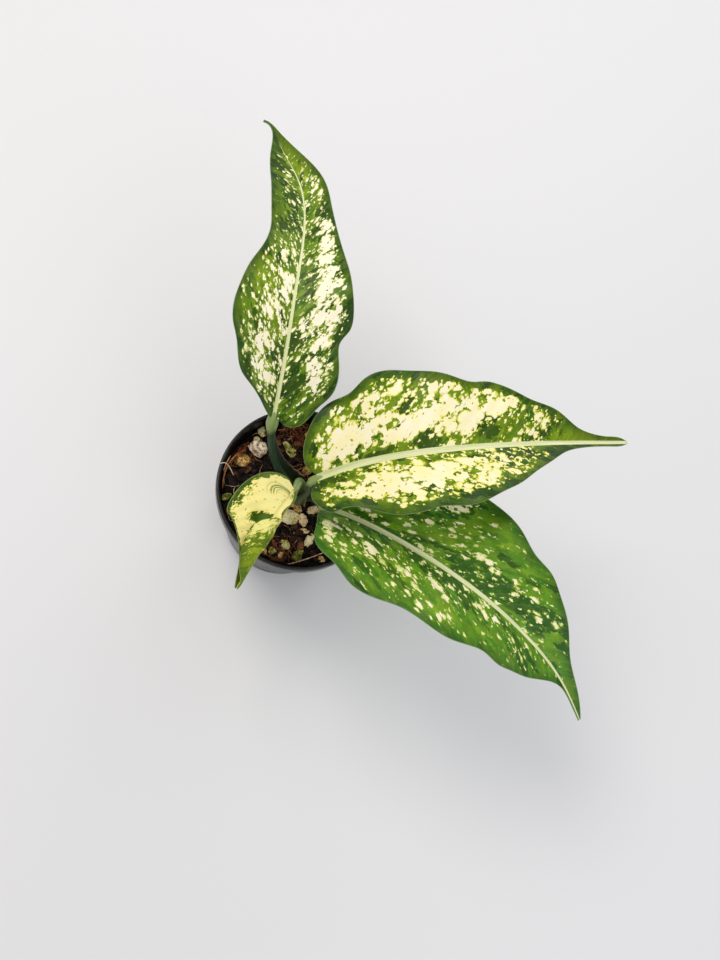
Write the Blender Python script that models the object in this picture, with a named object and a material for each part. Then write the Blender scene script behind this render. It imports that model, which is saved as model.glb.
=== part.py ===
"""Young speckled chinese evergreen in a small round nursery pot.

The pot stands on z = 0 with its centre line on the z axis. Sizes below are in millimetres.
Each leaf is drawn flat, as half-widths along its midrib, then bent onto its midrib curve.
"""

import math
import random

import bmesh
import bpy
import numpy as np

MM = 0.001
GAP = 0.3

# pot
POT_HEIGHT = 70.0
RIM_RADIUS = 38.0
RIM_BAND = 6.0
WALL_TOP_RADIUS = 36.8
BASE_RADIUS = 29.0
WALL = 1.2
POT_SIDES = 56
DRAIN_HOLES = 6
DRAIN_RADIUS = 3.0
DRAIN_RING = 20.0

# potting mix
SOIL_LEVEL = 60.5
SOIL_CROWN = 1.5
SOIL_RINGS = 9
SOIL_SIDES = 40
BARK_CHIPS = 26
# pumice seen from above: x, y, longest half-size, middle half-size, turn in degrees
PUMICE = [
    (-27.0, 15.0, 2.8, 2.2, 70),
    (-26.0, 8.0, 4.2, 3.6, 20),
    (-29.0, 1.5, 3.6, 3.0, 30),
    (-14.0, 17.0, 4.0, 2.1, 115),
    (-1.0, 12.0, 2.2, 1.8, 20),
    (3.5, -11.5, 4.0, 3.6, 60),
    (9.3, -8.6, 2.9, 2.2, 100),
    (11.0, -12.5, 2.0, 1.5, 10),
    (12.5, -3.5, 3.2, 2.0, 150),
    (14.8, -14.5, 2.8, 2.3, 30),
    (6.5, -23.0, 2.4, 2.3, 0),
    (2.6, -28.8, 2.2, 1.8, 40),
    (13.5, -24.5, 2.6, 2.2, 80),
    (-20.5, -17.0, 2.6, 1.8, 60),
    (21.0, 4.0, 3.4, 2.6, 25),
    (17.0, 15.0, 3.0, 2.2, 70),
    (6.0, 24.0, 2.8, 2.1, 10),
    (-9.0, 27.0, 2.6, 2.2, 50),
    (25.0, -8.0, 2.6, 2.0, 120),
]

# stem
STEM_RADIUS = 3.9
STEM_FOOT = 34.0
STEM_TOP = 73.0

# leaves
BLADE_THICKNESS = 0.7
KEEL_DEPTH = 1.1
KEEL_WIDTH = 1.3
BLADE_ROWS = 32
# where the points of one blade half lie, from the midrib to the margin
BLADE_COLUMNS = [0.0, 0.1, 0.38, 0.61, 0.82, 1.0]
KEEL_COLUMN = 1.5
ROOT_RADIUS = 1.4
ROOT_LENGTH = 9.0
ROOT_DROP = 1.3

UPPER = {
    "midrib": [
        (-25, 8, 112),
        (-35, 31, 128),
        (-44, 51, 134),
        (-55, 77, 132),
        (-69, 99, 126),
        (-94, 122, 116),
        (-101.5, 124.5, 113),
    ],
    "fold": [(24, 22, 16, 20), (24, 20, 16, 20)],
    "curl": [(-0.9, -0.8, -0.6, -0.4), (-0.9, -0.8, -0.6, -0.4)],
    "wave": (2.2, 34.0, 0.1, 0.55, 24.0),
    "left": [
        (0.1, 1.8),
        (1.8, 3.4),
        (6, 6.5),
        (13, 12.5),
        (18, 17.5),
        (31, 21.8),
        (37, 24.2),
        (43, 24.8),
        (51, 23.4),
        (60, 20.8),
        (67, 17.4),
        (75, 15.2),
        (90, 14.8),
        (111, 12.8),
        (129, 6.8),
        (142, 1.2),
        (151, 0.5),
    ],
    "right": [
        (-0.2, 2.0),
        (-2.3, 6),
        (-1.2, 10.7),
        (8, 17.3),
        (14, 21.5),
        (21, 23),
        (28, 22.1),
        (35, 21.5),
        (41, 25),
        (48, 25.2),
        (56, 23.2),
        (69, 19.6),
        (81, 14.8),
        (95, 11.6),
        (107, 11),
        (120, 7.8),
        (138, 3),
        (146, 0.8),
        (151, 0.5),
    ],
}
RIGHT = {
    "midrib": [
        (4.2, -3, 108),
        (10, 3, 114),
        (30, 20, 127),
        (52.5, 37.4, 131),
        (80, 59, 127),
        (112, 84, 117),
    ],
    "fold": [(26, 20, 16, 14), (34, 30, 24, 16)],
    "curl": [(-0.8, -0.6, -0.4, -0.3), (-0.6, -0.5, -0.4, -0.3)],
    "wave": (2.2, 32.0, 0.3, 0.0, 28.0),
    "left": [
        (-0.2, 2.0),
        (-2.3, 5),
        (-2.4, 9.3),
        (3.7, 19.5),
        (10, 26.2),
        (15, 29),
        (22, 29.6),
        (28, 32.8),
        (41, 35.8),
        (48, 35),
        (57, 31.5),
        (69, 27),
        (77, 27.6),
        (83, 25.4),
        (95, 18.4),
        (108, 14.4),
        (118, 6.8),
        (126, 3.7),
        (135, 2),
        (146, 0.5),
    ],
    "right": [
        (-0.2, 2.0),
        (-2.2, 4),
        (-3.4, 8),
        (0.5, 15.3),
        (6.5, 20),
        (12, 20),
        (24, 24.2),
        (36, 29.4),
        (42, 29.4),
        (49, 27.4),
        (62, 27.6),
        (73, 23.3),
        (83, 19),
        (91, 14.2),
        (101, 9),
        (110, 4.6),
        (119, 2.4),
        (136, 1.6),
        (146, 0.5),
    ],
}
LOWER = {
    "midrib": [
        (14.5, -9, 98),
        (26, -8.7, 105),
        (52, -8.5, 112),
        (81, -9.5, 113),
        (109, -12, 107),
        (141, -20, 97),
        (157, -28, 90),
    ],
    "fold": [(10, 10, 14, 14), (32, 32, 28, 16)],
    "curl": [(-0.5, -0.4, -0.4, -0.3), (-0.5, -0.4, -0.4, -0.3)],
    "wave": (2.0, 36.0, 0.2, 0.6, 26.0),
    "left": [
        (-0.2, 2.0),
        (-2, 5),
        (-1, 12),
        (4, 20),
        (12, 27),
        (24, 32.5),
        (36, 36),
        (48, 37.5),
        (60, 36.8),
        (72, 32.8),
        (86, 29.2),
        (96, 28),
        (102, 23.8),
        (115, 16),
        (126, 8.4),
        (138, 4.6),
        (146, 2.6),
        (152, 0.6),
    ],
    "right": [
        (-0.2, 2.0),
        (-1, 5),
        (1.6, 10),
        (5.6, 18.2),
        (12, 23.7),
        (20, 27.5),
        (29, 32.8),
        (36, 32.4),
        (48, 30),
        (62, 30.5),
        (80, 24.8),
        (87, 22.8),
        (93, 23.2),
        (103, 20),
        (114, 14.9),
        (124, 7.4),
        (133, 2),
        (144, 0.9),
        (152, 0.6),
    ],
}
# the young leaf is still rolled towards its tip
YOUNG = {
    "midrib": [
        (-1.6, -7.9, 92),
        (-2.3, -16.1, 99),
        (-2.8, -24.1, 105),
        (-2.4, -31.3, 109),
        (-1.3, -39.1, 112),
        (-1.2, -46.7, 114),
        (-0.7, -53.7, 115),
        (-0.4, -60.1, 115),
    ],
    "fold": [(15, 15, 15, 30, 35, 45, 50), (6, 6, 6, 4, 8, 30, 45)],
    "curl": [(1, 1, 1.5, 11, 15, 20, 26), (0.3, 0.3, 0.3, 0.5, 2.5, 8, 14)],
    "wave": (0.0, 30.0, 0.0, 0.0, 20.0),
    "left": [
        (0.1, 1.6),
        (3, 2.8),
        (9, 3.6),
        (17, 4),
        (24, 6.5),
        (31, 10.5),
        (38, 10.5),
        (46, 8.5),
        (54, 5),
        (61, 2.2),
        (65, 0.8),
    ],
    "right": [
        (-0.2, 2.0),
        (-2.6, 5),
        (0, 9.4),
        (6, 13),
        (15, 15.6),
        (24, 17.4),
        (31, 18.4),
        (37, 18.2),
        (42, 14),
        (46, 10.6),
        (51, 8),
        (57, 4.8),
        (62, 2.4),
        (65, 0.8),
    ],
}

# petioles: path before the blade, radius at the foot, middle and top, then sheath wings
UPPER_PETIOLE = {
    "path": [(-4.9, 0.6, 64), (-12.5, -0.8, 76), (-19.5, 0, 91), (-23.6, 3, 104)],
    "radii": (2.3, 1.7, 1.5, 2.4),
    "wings": [(40, 4.4, 0.62)],
}
RIGHT_PETIOLE = {
    "path": [(2.4, -4.5, 64), (3.1, -4.1, 78), (3.5, -4.3, 96)],
    "radii": (2.0, 1.8, 1.6, 2.0),
    "wings": [(-10, 2.0, 0.35), (170, 2.2, 0.45)],
}
LOWER_PETIOLE = {
    "path": [(5.0, -0.6, 64), (8.2, -3.6, 80), (11.4, -7.6, 90)],
    "radii": (2.0, 1.7, 1.5, 1.9),
    "wings": [(60, 2.4, 0.5)],
}
YOUNG_PETIOLE = {
    "path": [(0, 0, STEM_TOP + GAP), (-1.2, -0.8, 80), (-1.8, -3.6, 86.5)],
    "radii": (2.4, 2.1, 1.7, 1.6),
    "wings": [],
}
PETIOLE_RINGS = 16
PETIOLE_SIDES = 12
WING_THICKNESS = 0.8

COLOURS = {
    "pot": (0.012, 0.012, 0.013),
    "potting_mix": (0.03, 0.018, 0.01),
    "stem": (0.05, 0.13, 0.05),
    "petiole": (0.04, 0.12, 0.05),
    "blade": (0.20, 0.38, 0.09),
    "young_blade": (0.62, 0.62, 0.18),
}


def clear_scene():
    for obj in list(bpy.data.objects):
        bpy.data.objects.remove(obj)


def material(name, colour, roughness):
    made = bpy.data.materials.new(name)
    made.use_nodes = True
    shader = made.node_tree.nodes["Principled BSDF"]
    shader.inputs["Base Color"].default_value = (*colour, 1.0)
    shader.inputs["Roughness"].default_value = roughness
    return made


def new_object(name, points, faces, smooth=True):
    """An object from points in millimetres."""
    mesh = bpy.data.meshes.new(name)
    mesh.from_pydata([[c * MM for c in point] for point in points], [], faces)
    mesh.validate()
    obj = bpy.data.objects.new(name, mesh)
    bpy.context.scene.collection.objects.link(obj)
    if smooth:
        mesh.shade_smooth()
        mesh.set_sharp_from_angle(angle=math.radians(40))
    return obj


def apply_modifiers(obj):
    graph = bpy.context.evaluated_depsgraph_get()
    finished = bpy.data.meshes.new_from_object(obj.evaluated_get(graph))
    obj.modifiers.clear()
    obj.data = finished


def cut(obj, cutter, operation="DIFFERENCE"):
    """Joins or cuts, then removes the other object."""
    modifier = obj.modifiers.new(operation.lower(), "BOOLEAN")
    modifier.operation = operation
    modifier.solver = "EXACT"
    modifier.object = cutter
    cutter.hide_render = True
    cutter.display_type = "WIRE"
    apply_modifiers(obj)
    bpy.data.objects.remove(cutter)


def revolve(name, profile, sides):
    """A closed solid turned about z. The profile runs from the axis at the foot to the axis above."""
    points = [(0.0, 0.0, profile[0][1])]
    for radius, z in profile[1:-1]:
        for k in range(sides):
            angle = 2 * math.pi * k / sides
            points.append((radius * math.cos(angle), radius * math.sin(angle), z))
    points.append((0.0, 0.0, profile[-1][1]))
    rings = len(profile) - 2
    last = len(points) - 1
    faces = []
    for k in range(sides):
        n = (k + 1) % sides
        faces.append((0, 1 + n, 1 + k))
        for ring in range(rings - 1):
            a = 1 + ring * sides
            faces.append((a + k, a + n, a + sides + n, a + sides + k))
        top = 1 + (rings - 1) * sides
        faces.append((top + k, top + n, last))
    return new_object(name, points, faces)


def cylinder(name, x, y, radius, low, high, sides):
    obj = revolve(name, [(0, low), (radius, low), (radius, high), (0, high)], sides)
    for vertex in obj.data.vertices:
        vertex.co.x += x * MM
        vertex.co.y += y * MM
    return obj


def make_pot():
    inner_top = WALL_TOP_RADIUS - WALL
    band_foot = POT_HEIGHT - RIM_BAND
    profile = [
        (0, 0),
        (BASE_RADIUS - 1.2, 0),
        (BASE_RADIUS - 0.3, 0.4),
        (BASE_RADIUS, 1.4),
        (WALL_TOP_RADIUS - 0.2, band_foot - 1.2),
        (RIM_RADIUS - 0.3, band_foot - 0.6),
        (RIM_RADIUS, band_foot),
        (RIM_RADIUS, POT_HEIGHT - 0.6),
        (RIM_RADIUS - 0.5, POT_HEIGHT),
        (RIM_RADIUS - 1.2, POT_HEIGHT),
        (RIM_RADIUS - 1.6, POT_HEIGHT - 0.6),
        (inner_top + 0.6, band_foot + 1.0),
        (inner_top, band_foot - 1.0),
        (BASE_RADIUS - WALL, WALL + 1.0),
        (BASE_RADIUS - WALL - 1.0, WALL),
        (0, WALL),
    ]
    pot = revolve("pot", profile, POT_SIDES)
    for k in range(DRAIN_HOLES):
        angle = 2 * math.pi * (k + 0.5) / DRAIN_HOLES
        x = DRAIN_RING * math.cos(angle)
        y = DRAIN_RING * math.sin(angle)
        cut(pot, cylinder("drain", x, y, DRAIN_RADIUS, -2, WALL + 2, 12))
    return pot


def soil_height(x, y, lumps):
    """Height of the loose surface, lumpy and a little higher in the middle."""
    reach = math.hypot(x, y) / WALL_TOP_RADIUS
    height = SOIL_LEVEL + SOIL_CROWN * (1 - reach * reach)
    for lump_x, lump_y, size, rise in lumps:
        away = ((x - lump_x) ** 2 + (y - lump_y) ** 2) / (size * size)
        height += rise * math.exp(-away)
    return height


def soil_lumps(rng):
    lumps = []
    for _ in range(34):
        angle = rng.uniform(0, 2 * math.pi)
        reach = 31 * math.sqrt(rng.random())
        rise = rng.uniform(-1.2, 1.3)
        lumps.append((reach * math.cos(angle), reach * math.sin(angle), rng.uniform(3, 6), rise))
    return lumps


def soil_body(lumps):
    inner_slope = (WALL_TOP_RADIUS - BASE_RADIUS) / (POT_HEIGHT - RIM_BAND)
    foot = WALL + GAP
    foot_radius = BASE_RADIUS - WALL - GAP - 0.8
    side_radius = foot_radius + 0.5 + inner_slope * 57
    points = [(0, 0, foot)]
    for ring_radius, ring_z in ((foot_radius - 0.6, foot), (foot_radius + 0.2, foot + 1.4), (side_radius, 58.5)):
        for k in range(SOIL_SIDES):
            angle = 2 * math.pi * k / SOIL_SIDES
            points.append((ring_radius * math.cos(angle), ring_radius * math.sin(angle), ring_z))
    for ring in range(SOIL_RINGS):
        ring_radius = (side_radius - 0.2) * (1 - ring / SOIL_RINGS)
        for k in range(SOIL_SIDES):
            angle = 2 * math.pi * (k + 0.37 * ring) / SOIL_SIDES
            x = ring_radius * math.cos(angle)
            y = ring_radius * math.sin(angle)
            points.append((x, y, soil_height(x, y, lumps)))
    points.append((0, 0, soil_height(0, 0, lumps)))
    rings = 3 + SOIL_RINGS
    last = len(points) - 1
    faces = []
    for k in range(SOIL_SIDES):
        n = (k + 1) % SOIL_SIDES
        faces.append((0, 1 + n, 1 + k))
        for ring in range(rings - 1):
            a = 1 + ring * SOIL_SIDES
            b = a + SOIL_SIDES
            faces.append((a + k, a + n, b + n))
            faces.append((a + k, b + n, b + k))
        top = 1 + (rings - 1) * SOIL_SIDES
        faces.append((top + k, top + n, last))
    return new_object("potting_mix", points, faces, smooth=False)


def pebble(name, centre, sizes, turn, rng, detail):
    """A rough stone or chip with few sides."""
    body = bmesh.new()
    bmesh.ops.create_icosphere(body, subdivisions=detail, radius=1.0)
    cosine = math.cos(math.radians(turn))
    sine = math.sin(math.radians(turn))
    for vertex in body.verts:
        rough = 1 + rng.uniform(-0.13, 0.13)
        x = vertex.co.x * sizes[0] * rough
        y = vertex.co.y * sizes[1] * rough
        z = vertex.co.z * sizes[2] * rough
        vertex.co.x = (centre[0] + x * cosine - y * sine) * MM
        vertex.co.y = (centre[1] + x * sine + y * cosine) * MM
        vertex.co.z = (centre[2] + z) * MM
    mesh = bpy.data.meshes.new(name)
    body.to_mesh(mesh)
    body.free()
    return bpy.data.objects.new(name, mesh)


def bark_spots(rng):
    """Places for bark chips, kept off the stem, the pot wall and the pumice."""
    spots = []
    while len(spots) < BARK_CHIPS:
        angle = rng.uniform(0, 2 * math.pi)
        reach = rng.uniform(9.5, 30)
        x = reach * math.cos(angle)
        y = reach * math.sin(angle)
        taken = [(p[0], p[1], p[2]) for p in PUMICE] + [(s[0], s[1], 2.5) for s in spots]
        if all(math.hypot(x - t[0], y - t[1]) > t[2] + 2.6 for t in taken):
            spots.append((x, y))
    return spots


def make_potting_mix():
    rng = random.Random(7)
    lumps = soil_lumps(rng)
    soil = soil_body(lumps)
    pieces = bpy.data.collections.new("grit")
    bpy.context.scene.collection.children.link(pieces)
    for x, y, long_size, wide_size, turn in PUMICE:
        centre = (x, y, soil_height(x, y, lumps) + 0.15 * wide_size)
        sizes = (long_size, wide_size, 0.8 * wide_size)
        pieces.objects.link(pebble("pumice", centre, sizes, turn, rng, 2))
    for x, y in bark_spots(rng):
        centre = (x, y, soil_height(x, y, lumps))
        sizes = (rng.uniform(2.2, 3.4), rng.uniform(1.2, 1.8), rng.uniform(1.0, 1.5))
        pieces.objects.link(pebble("bark", centre, sizes, rng.uniform(0, 180), rng, 1))
    union = soil.modifiers.new("union", "BOOLEAN")
    union.operation = "UNION"
    union.solver = "EXACT"
    union.operand_type = "COLLECTION"
    union.collection = pieces
    apply_modifiers(soil)
    for obj in list(pieces.objects):
        bpy.data.objects.remove(obj)
    bpy.data.collections.remove(pieces)
    cut(soil, cylinder("stem_hole", 0, 0, STEM_RADIUS + GAP + 0.1, STEM_FOOT - GAP, 90, 20))
    return soil


def stem_profile(grow):
    r = STEM_RADIUS + grow
    return [
        (0, STEM_FOOT - grow),
        (r - 0.6, STEM_FOOT - grow),
        (r, STEM_FOOT + 1),
        (r, 60),
        (r - 0.2, 62.5),
        (r, 64),
        (r - 0.4, 66),
        (r - 0.3, 68),
        (r - 0.8, STEM_TOP - 0.8 + grow),
        (r - 1.4, STEM_TOP + grow),
        (0, STEM_TOP + grow),
    ]


def make_stem():
    return revolve("stem", stem_profile(0), 20)


def natural_curve(points, count):
    """Evenly sampled natural cubic through the points."""
    knots = np.array(points, float)
    steps = np.linalg.norm(np.diff(knots, axis=0), axis=1)
    at = np.concatenate([[0.0], np.cumsum(steps)])
    size = len(at)
    system = np.zeros((size, size))
    system[0, 0] = 1
    system[-1, -1] = 1
    rest = np.zeros((size, knots.shape[1]))
    slopes = np.diff(knots, axis=0) / steps[:, None]
    for i in range(1, size - 1):
        system[i, i - 1] = steps[i - 1]
        system[i, i] = 2 * (steps[i - 1] + steps[i])
        system[i, i + 1] = steps[i]
        rest[i] = 6 * (slopes[i] - slopes[i - 1])
    bend = np.linalg.solve(system, rest)
    where = np.linspace(0, at[-1], count)
    i = np.clip(np.searchsorted(at, where) - 1, 0, size - 2)
    along = (where - at[i])[:, None]
    step = steps[i][:, None]
    first = slopes[i] - step * (2 * bend[i] + bend[i + 1]) / 6
    third = (bend[i + 1] - bend[i]) / (6 * step)
    return knots[i] + first * along + bend[i] / 2 * along**2 + third * along**3


def lengths(curve):
    steps = np.linalg.norm(np.diff(curve, axis=0), axis=1)
    return np.concatenate([[0.0], np.cumsum(steps)])


def unit(vectors):
    return vectors / np.linalg.norm(vectors, axis=-1, keepdims=True)


class Blade:
    """Maps flat leaf places (along, across) onto the bent blade."""

    def __init__(self, leaf):
        self.leaf = leaf
        self.curve = natural_curve(leaf["midrib"], 400)
        self.at = lengths(self.curve)
        self.length = self.at[-1]
        self.start = unit(self.curve[6] - self.curve[0])
        self.end = unit(self.curve[-1] - self.curve[-7])

    def midrib(self, along):
        held = np.clip(along, 0, self.length)
        place = np.stack([np.interp(held, self.at, self.curve[:, k]) for k in range(3)], -1)
        before = np.minimum(along, 0)[..., None] * self.start
        after = np.maximum(along - self.length, 0)[..., None] * self.end
        return place + before + after

    def frame(self, along):
        forward = unit(self.midrib(along + 1.5) - self.midrib(along - 1.5))
        across = unit(np.cross([0.0, 0.0, 1.0], forward))
        return across, np.cross(forward, across)

    def keyed(self, key, side, along):
        values = self.leaf[key][side]
        return np.interp(along / self.length, np.linspace(0, 1, len(values)), values)

    def surface(self, along, across):
        """The upper face and its upward direction. Left of the midrib counts as positive."""
        side = 0 if across.max() > 0 else 1
        reach = np.abs(across)
        first = np.radians(self.keyed("fold", side, along))
        bend = np.radians(self.keyed("curl", side, along))
        last = first + bend * reach
        out = (np.sin(last) - np.sin(first)) / bend
        rise = (np.cos(first) - np.cos(last)) / bend
        height, spacing, *phases, nominal = self.leaf["wave"]
        swing = height * np.sin(2 * np.pi * (along / spacing + phases[side]))
        part = along / self.length
        swing *= np.clip(6 * part + 0.4, 0, 1) * np.clip(5 - 5 * part, 0, 1)
        rise = rise + swing * np.minimum(reach / nominal, 1.3) ** 2
        sideways, up = self.frame(along)
        sign = 1 - 2 * side
        place = self.midrib(along) + sideways * (sign * out)[..., None] + up * rise[..., None]
        facing = up * np.cos(last)[..., None] - sideways * (sign * np.sin(last))[..., None]
        return place, facing


def blade_half(blade, outline, side):
    """Rows of upper-face points, their directions and their flat leaf places."""
    curve = natural_curve(outline, 400)
    at = lengths(curve)
    part = np.linspace(0, 1, BLADE_ROWS + 1)
    margin = [np.interp(part * at[-1], at, curve[:, k]) for k in range(2)]
    centre = curve[-1, 0] * part**1.1
    width = np.maximum(margin[1], 0.5)
    columns = np.tile(BLADE_COLUMNS, (BLADE_ROWS + 1, 1))
    columns[:, 1] = np.clip(KEEL_COLUMN / width, 0.04, 0.3)
    along = centre[:, None] * (1 - columns) + margin[0][:, None] * columns
    across = width[:, None] * columns
    top, facing = blade.surface(along, across if side == 0 else -across)
    return top, facing, across, along


def face_normals(grid):
    rows = np.gradient(grid, axis=0)
    columns = np.gradient(grid, axis=1)
    return unit(np.cross(rows, columns))


def make_blade(name, leaf):
    blade = Blade(leaf)
    left = blade_half(blade, leaf["left"], 0)
    right = blade_half(blade, leaf["right"], 1)
    middle = unit(left[1][:, 0] + right[1][:, 0])
    top, facing, reach, along = [
        np.concatenate([theirs[:, ::-1], ours[:, 1:]], 1) for theirs, ours in zip(right, left)
    ]
    facing[:, len(BLADE_COLUMNS) - 1] = middle
    fade = 1 - 0.75 * np.clip(along / blade.length, 0, 1)
    depth = BLADE_THICKNESS + KEEL_DEPTH * fade * np.exp(-((reach / KEEL_WIDTH) ** 2))
    under = top - facing * depth[..., None]
    obj = new_object(name, *closed_sheet(top, under))
    return join_root(obj, blade, name)


def closed_sheet(top, under):
    """Points and faces of a thin solid between two grids split into triangles alike."""
    rows, columns = top.shape[:2]
    points = [tuple(p) for p in top.reshape(-1, 3)] + [tuple(p) for p in under.reshape(-1, 3)]
    below = rows * columns
    faces = []
    for i in range(rows - 1):
        for j in range(columns - 1):
            a = i * columns + j
            b = a + columns
            faces.append((a, a + 1, b + 1))
            faces.append((a, b + 1, b))
            faces.append((below + a, below + b + 1, below + a + 1))
            faces.append((below + a, below + b, below + b + 1))
    edge = list(range(columns))
    edge += [i * columns + columns - 1 for i in range(1, rows)]
    edge += [(rows - 1) * columns + j for j in range(columns - 2, -1, -1)]
    edge += [i * columns for i in range(rows - 2, 0, -1)]
    for here, there in zip(edge, edge[1:] + edge[:1]):
        faces.append((here, below + here, below + there))
        faces.append((here, below + there, there))
    return points, outward(points, faces)


def outward(points, faces):
    """Turns the faces round if the solid is inside out."""
    place = np.array(points)
    corners = place[np.array(faces)]
    volume = np.einsum("ij,ij->i", corners[:, 0], np.cross(corners[:, 1], corners[:, 2])).sum()
    return faces if volume > 0 else [tuple(reversed(face)) for face in faces]


def tube(name, centres, forwards, wides, radii, sides):
    """A round rod through rings that face along the given directions."""
    points = []
    for centre, forward, wide, radius in zip(centres, forwards, wides, radii):
        first = unit(wide - forward * np.dot(wide, forward))
        second = np.cross(forward, first)
        for k in range(sides):
            angle = 2 * math.pi * k / sides
            offset = first * math.cos(angle) * radius + second * math.sin(angle) * radius
            points.append(tuple(centre + offset))
    rings = len(centres)
    faces = []
    for ring in range(rings - 1):
        a = ring * sides
        b = a + sides
        for k in range(sides):
            n = (k + 1) % sides
            faces.append((a + k, a + n, b + n))
            faces.append((a + k, b + n, b + k))
    last = (rings - 1) * sides
    for k in range(1, sides - 1):
        faces.append((0, k + 1, k))
        faces.append((last, last + k, last + k + 1))
    return new_object(name, points, outward(points, faces))


def join_root(obj, blade, name):
    """Fuses the round foot of the midrib, which faces the petiole, to the blade."""
    along = np.linspace(0, ROOT_LENGTH, 5)
    forward = unit(blade.midrib(along + 0.5) - blade.midrib(along - 0.5))
    forward[0] = blade.start
    across, up = blade.frame(along)
    drop = ROOT_DROP * (1 - 0.25 * along / ROOT_LENGTH)
    centres = blade.midrib(along) - up * drop[:, None]
    radii = ROOT_RADIUS * (1 - 0.55 * along / ROOT_LENGTH)
    root = tube(name + "_root", centres, forward, across, radii, 12)
    cut(obj, root, "UNION")
    return obj


def petiole_rings(petiole, blade):
    """Centres, directions and radii of the petiole's rings, up to its blade's root."""
    across, up = blade.frame(np.array([0.0]))
    joint = blade.midrib(np.array([0.0]))[0] - up[0] * ROOT_DROP
    ends = [tuple(joint - blade.start * back) for back in (3.0, GAP)]
    curve = natural_curve(petiole["path"] + ends, 200)
    at = lengths(curve)
    wanted = np.linspace(0, at[-1], PETIOLE_RINGS)
    centres = np.stack([np.interp(wanted, at, curve[:, k]) for k in range(3)], -1)
    forwards = unit(np.gradient(centres, axis=0))
    forwards[-1] = blade.start
    foot, middle, upper, top = petiole["radii"]
    part = wanted / at[-1]
    radii = np.interp(part, [0, 0.35, 0.88, 1], [foot, middle, upper, top])
    return centres, forwards, radii, part


def sheath_wing(name, centres, forwards, radii, part, wing):
    """A thin sheath margin beside the lower petiole, sunk into it."""
    turn, width, stop = wing
    direction = np.array([math.cos(math.radians(turn)), math.sin(math.radians(turn)), 0.0])
    count = max(4, int(stop * len(centres)))
    rows = []
    for k in range(count):
        sideways = unit(direction - forwards[k] * np.dot(direction, forwards[k]))
        reach = radii[k] + width * (1 - 0.92 * part[k] / stop)
        if k == count - 1:
            reach = radii[k] - 0.1
        rows.append([centres[k] + sideways * 0.4, centres[k] + sideways * max(reach, 0.9)])
    middle = np.array(rows)
    thick = face_normals(middle) * WING_THICKNESS / 2
    return new_object(name, *closed_sheet(middle + thick, middle - thick))


def make_petiole(name, petiole, leaf):
    centres, forwards, radii, part = petiole_rings(petiole, Blade(leaf))
    wides = np.tile([1.0, 0.3, 0.0], (len(centres), 1))
    obj = tube(name, centres, forwards, wides, radii, PETIOLE_SIDES)
    for wing in petiole["wings"]:
        cut(obj, sheath_wing("wing", centres, forwards, radii, part, wing), "UNION")
    cut(obj, revolve("stem_cutter", stem_profile(GAP - 0.01), 20))
    return obj


def main():
    clear_scene()
    paint = {
        "pot": material("pot_plastic", COLOURS["pot"], 0.3),
        "mix": material("potting_mix", COLOURS["potting_mix"], 0.95),
        "stem": material("stem_green", COLOURS["stem"], 0.5),
        "petiole": material("petiole_green", COLOURS["petiole"], 0.45),
        "blade": material("leaf_speckled", COLOURS["blade"], 0.4),
        "young": material("leaf_young", COLOURS["young_blade"], 0.4),
    }
    made = [
        (make_pot(), "pot"),
        (make_potting_mix(), "mix"),
        (make_stem(), "stem"),
        (make_petiole("petiole_upper", UPPER_PETIOLE, UPPER), "petiole"),
        (make_petiole("petiole_right", RIGHT_PETIOLE, RIGHT), "petiole"),
        (make_petiole("petiole_lower", LOWER_PETIOLE, LOWER), "petiole"),
        (make_petiole("petiole_young", YOUNG_PETIOLE, YOUNG), "petiole"),
        (make_blade("blade_upper", UPPER), "blade"),
        (make_blade("blade_right", RIGHT), "blade"),
        (make_blade("blade_lower", LOWER), "blade"),
        (make_blade("blade_young", YOUNG), "young"),
    ]
    for obj, key in made:
        obj.data.materials.clear()
        obj.data.materials.append(paint[key])


main()
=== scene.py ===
"""Dresses the young speckled chinese evergreen: living leaves, stalks, gritty mix and moulded pot.

Sizes are in millimetres, as in the part's source. Each leaf is laid out flat, as distance along
its midrib and across from it, then bent. Its markings are laid out in the same flat places.
"""

import math
import random
from functools import partial

import bmesh
import bpy
import numpy as np
from mathutils import Matrix, noise


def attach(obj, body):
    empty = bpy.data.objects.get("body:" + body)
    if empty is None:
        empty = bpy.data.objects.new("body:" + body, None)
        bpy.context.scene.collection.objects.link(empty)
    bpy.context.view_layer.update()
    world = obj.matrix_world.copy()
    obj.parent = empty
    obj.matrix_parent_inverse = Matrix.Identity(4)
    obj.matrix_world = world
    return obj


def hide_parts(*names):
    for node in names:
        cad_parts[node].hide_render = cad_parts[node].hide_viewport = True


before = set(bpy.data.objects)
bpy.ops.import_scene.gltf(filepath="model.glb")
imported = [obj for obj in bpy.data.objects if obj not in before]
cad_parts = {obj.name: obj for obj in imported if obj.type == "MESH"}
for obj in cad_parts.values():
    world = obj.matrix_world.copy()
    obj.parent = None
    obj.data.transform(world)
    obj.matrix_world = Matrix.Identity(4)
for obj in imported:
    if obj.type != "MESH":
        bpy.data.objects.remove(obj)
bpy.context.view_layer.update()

MM = 0.001
NOISE_DETAIL = 2

# pot
POT_HEIGHT = 70.0
RIM_RADIUS = 38.0
RIM_BAND = 6.0
WALL_TOP_RADIUS = 36.8
BASE_RADIUS = 29.0
WALL = 1.2
POT_SIDES = 160
DRAIN_HOLES = 6
DRAIN_RADIUS = 3.0
DRAIN_RING = 20.0
DRAIN_SIDES = 40

# potting mix
SOIL_LEVEL = 60.5
SOIL_CROWN = 1.5
SOIL_REACH = 35.0
SOIL_RINGS = 100
SOIL_SIDES = 220
SOIL_LUMPS = 34
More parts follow.
